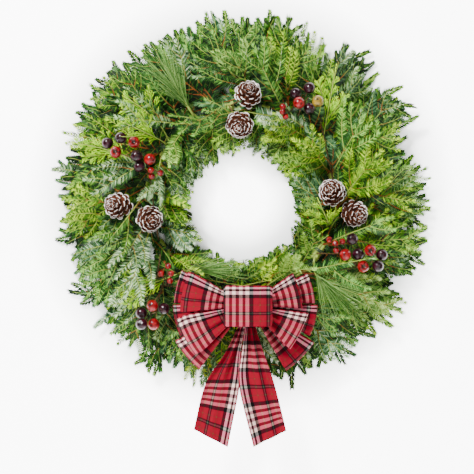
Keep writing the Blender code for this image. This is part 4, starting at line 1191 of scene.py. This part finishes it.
def pine(name, seat, control, tip, needle):
    draws = random.Random(name)
    bm = tinted()
    way = Way(at(*seat, SEAT_DEPTH + 4), at(*control), at(*tip))
    tape_bar(bm, [way.at(k / 8) for k in range(9)], PINE_STEM * MM, 1)
    tape_bar(bm, [at(*seat, SEAT_DEPTH), at(*seat, SEAT_DEPTH + 4), way.at(0.06)], PINE_STEM * MM, 1)
    for k in range(WHORLS):
        t = 0.42 + 0.58 * k / (WHORLS - 1)
        along, left, out = way.axes(t)
        turn = math.radians(GOLDEN_ANGLE * k)
        for _ in range(4):
            spread = math.radians(draws.uniform(10, 38) * (1.15 - 0.35 * t))
            ring = turn + draws.uniform(-0.35, 0.35)
            aside = left * math.cos(ring) + out * math.sin(ring)
            if aside.dot(FORWARD) < -0.2:
                aside = (aside - FORWARD * aside.dot(FORWARD) * 0.8).normalized()
            ahead = along * math.cos(spread) + aside * math.sin(spread)
            length = draws.uniform(62, 84) * MM
            root = way.at(t)
            droop = Vector((draws.uniform(-1, 1), draws.uniform(-0.6, 0.3), draws.uniform(-1.2, 0.4))) * 5 * MM
            line = Way(root, root + ahead * length * 0.5, root + ahead * length + droop)
            piece, shade = copied(needle), draws.random()
            tone = layers_of(piece)[0]
            for vert in piece.verts:
                x, y, z = vert.co
                _, side, rise = line.axes(x)
                vert.co = line.at(x) + (side * y + rise * z) * PINE_NEEDLE_WIDTH * MM
                vert[tone] = (shade, 0, 0, 1)
            if any(blocked(line.at(s)) for s in (0.5, 0.75, 1.0)):
                piece.free()
            else:
                join(bm, piece)
    finished(name + "_needles", bm, [PINE_NEEDLES, BARK], [name])


def ring_paint():
    """Painted steel wire: dark green paint, half gloss, worn in patches 11 mm apart."""
    stops = [(0.35, "#22331F"), (0.62, "#33482C"), (0.7, "#6E6E64")]
    return mottled({"name": "ring_paint", "roughness": 0.42}, 90, 6, stops, 0.2)


def tie_steel():
    """Bare florist's wire: drawn steel, grey, marked every 3.3 mm by the drawing."""
    steel = {"name": "tie_wire_steel", "roughness": 0.35, "metallic": 1.0}
    return mottled(steel, 300, 3, [(0.3, "#6F6F70"), (0.7, "#A2A3A6")], 0.08)


def torus(bm, radius, thick, segments, sides, matrix):
    """A closed ring of round wire: a circle spun a full turn."""
    made = bmesh.ops.create_circle(
        bm, segments=sides, radius=thick, matrix=Matrix.Translation((radius, 0, 0)) @ UPRIGHT
    )
    before = set(bm.verts) - set(made["verts"])
    bmesh.ops.spin(
        bm, geom=made["verts"] + edges_of(made["verts"]), cent=(0, 0, 0), axis=(0, 0, 1), angle=2 * math.pi,
        steps=segments, use_merge=True,
    )
    bmesh.ops.transform(bm, matrix=matrix, verts=[vert for vert in bm.verts if vert not in before])


def ring_and_clamps():
    bm = bmesh.new()
    torus(bm, RING_RADIUS * MM, RING_WIRE * MM, 144, 12, Matrix.Translation(at(0, 0, WALL_GAP)) @ UPRIGHT)
    for index in range(CLAMPS):
        for shift in (-1.4, 1.4):
            place = clamp_place(index) @ Matrix.Translation((0, 0, shift * MM))
            torus(bm, 9.7 * MM, 1.25 * MM, 28, 8, place)
    bmesh.ops.recalc_face_normals(bm, faces=bm.faces)
    finished("wire_ring_frame", bm, [ring_paint()], ["wire_ring"], True)
    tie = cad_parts["bow_tie_wire"]
    tie.data.materials.clear()
    tie.data.materials.append(tie_steel())


def build_sprays():
    cords = [(length * MM, cord_mesh(length)) for length in (9, 24)]
    for entry in CEDARS:
        cedar(*entry, cords)
    needle = long_needle_mesh()
    for entry in PINES:
        pine(*entry, needle)


# The stage: a pale wall close behind the wreath, which only shows from the front and glows as painted light, with a
# painted shadow round the wreath; a pale floor and soft light.

# How brightly the wall glows, as painted light, this many metres from the ring's middle. The glow fades out at the
# edges of the hole and round the wreath's outer edge as a painted shadow, and stays dark behind the wreath.
GLOW = ((0.04, 1.0), (0.085, 0.16), (0.11, 0.0), (0.25, 0.0), (0.29, 0.16), (0.36, 1.0))
WALL_GLOW = 6.5
WORLD_LIGHT = 0.15
WALL_Y, FLOOR_Z = 0.0155, -1.3
# Each light: name, place in metres, size and power in watts.
LIGHTS = (
    ("key", (-0.9, -1.8, 1.2), 0.5, 172),
    ("fill", (1.6, -2.2, 0.4), 1.2, 10),
    ("front", (0.0, -3.2, -0.4), 0.9, 20),
)


def studio_paint(name, code):
    """Matt white studio paint, in patches a third of a metre apart."""
    made, tree, shader = material(name, 0.95, 0.1)
    tint = add(tree, "ValToRGB", {"Fac": mottle(tree, 3, 2)}, [(0.3, code), (0.7, "#FFFFFF")])[0]
    feed(shader, {"Base Color": tint})
    return made, tree, shader


def glowing_wall():
    """The wall's paint. It glows softly as painted light, as if lit from behind, but not where the wreath hangs; the
    glow fades out round the wreath's edges and its hole as a painted shadow.
    """
    made, tree, shader = studio_paint("wall_paint_glow_and_painted_shadow", "#FCFCFC")
    x, _, z = add(tree, "SeparateXYZ", {"Vector": add(tree, "TexCoord")["Object"]})
    up = add(tree, "Math", {0: z, 1: RING_Z * MM}, operation="SUBTRACT")[0]
    aside = add(tree, "Math", {0: x, 1: x}, operation="MULTIPLY")[0]
    away = add(tree, "Math", {0: up, 1: up, 2: aside}, operation="MULTIPLY_ADD")[0]
    away = add(tree, "Math", {0: away}, operation="SQRT")[0]
    # Painted light and painted shadow: the wall's glow by distance from the ring's middle.
    glow = add(tree, "ValToRGB", {"Fac": away}, GLOW)[0]
    glow = add(tree, "Math", {0: glow, 1: WALL_GLOW}, operation="MULTIPLY")[0]
    feed(shader, {"Emission Strength": glow, "Emission Color": (1, 1, 1, 1)})
    back = add(tree, "NewGeometry")["Backfacing"]
    both = add(tree, "MixShader", {0: back, 1: shader.outputs[0], 2: add(tree, "BsdfTransparent")[0]})[0]
    feed(tree.nodes["Material Output"], {"Surface": both})
    return made


def build_stage():
    wall_place = Matrix.Translation((0, WALL_Y, RING_Z * MM)) @ UPRIGHT
    for name, paint, size, matrix in (
        ("studio_wall", glowing_wall(), 3.0, wall_place),
        ("studio_floor", studio_paint("floor_paint", "#F4F4F4")[0], 4.0, Matrix.Translation((0, -1.0, FLOOR_Z))),
    ):
        bm = bmesh.new()
        bmesh.ops.create_grid(bm, x_segments=1, y_segments=1, size=size / 2, matrix=matrix)
        made = bpy.data.objects.new(name, as_mesh(bm, name))
        made.data.materials.append(paint)
        bpy.context.scene.collection.objects.link(made)
    world = bpy.data.worlds.new("studio")
    world.use_nodes = True
    ground = world.node_tree.nodes["Background"]
    ground.inputs["Color"].default_value = linear("#FFFFFF")
    ground.inputs["Strength"].default_value = WORLD_LIGHT
    bpy.context.scene.world = world
    for name, place, size, power in LIGHTS:
        lamp = bpy.data.lights.new(name, "AREA")
        lamp.shape, lamp.size, lamp.energy = "DISK", size, power
        made = bpy.data.objects.new(name, lamp)
        made.location = place
        aim = Vector((0, 0, RING_Z * MM)) - Vector(place)
        made.rotation_euler = aim.to_track_quat("-Z", "Y").to_euler()
        bpy.context.scene.collection.objects.link(made)


def build_camera():
    """Straight on, a little right of and below the ring's middle, as in the photograph."""
    lens = bpy.data.cameras.new("camera")
    lens.lens, lens.sensor_width = 103.8, 36
    made = bpy.data.objects.new("camera", lens)
    made.location = (-0.0072, -2.251, -0.2134)
    made.rotation_euler = (math.pi / 2, 0, 0)
    bpy.context.scene.collection.objects.link(made)
    bpy.context.scene.camera = made


def main():
    build_camera()
    build_stage()
    ring_and_clamps()
    build_bow()
    build_cones_and_fruits()
    build_sprays()
    for index in range(CLAMPS):
        fir_bunch(index)


main()
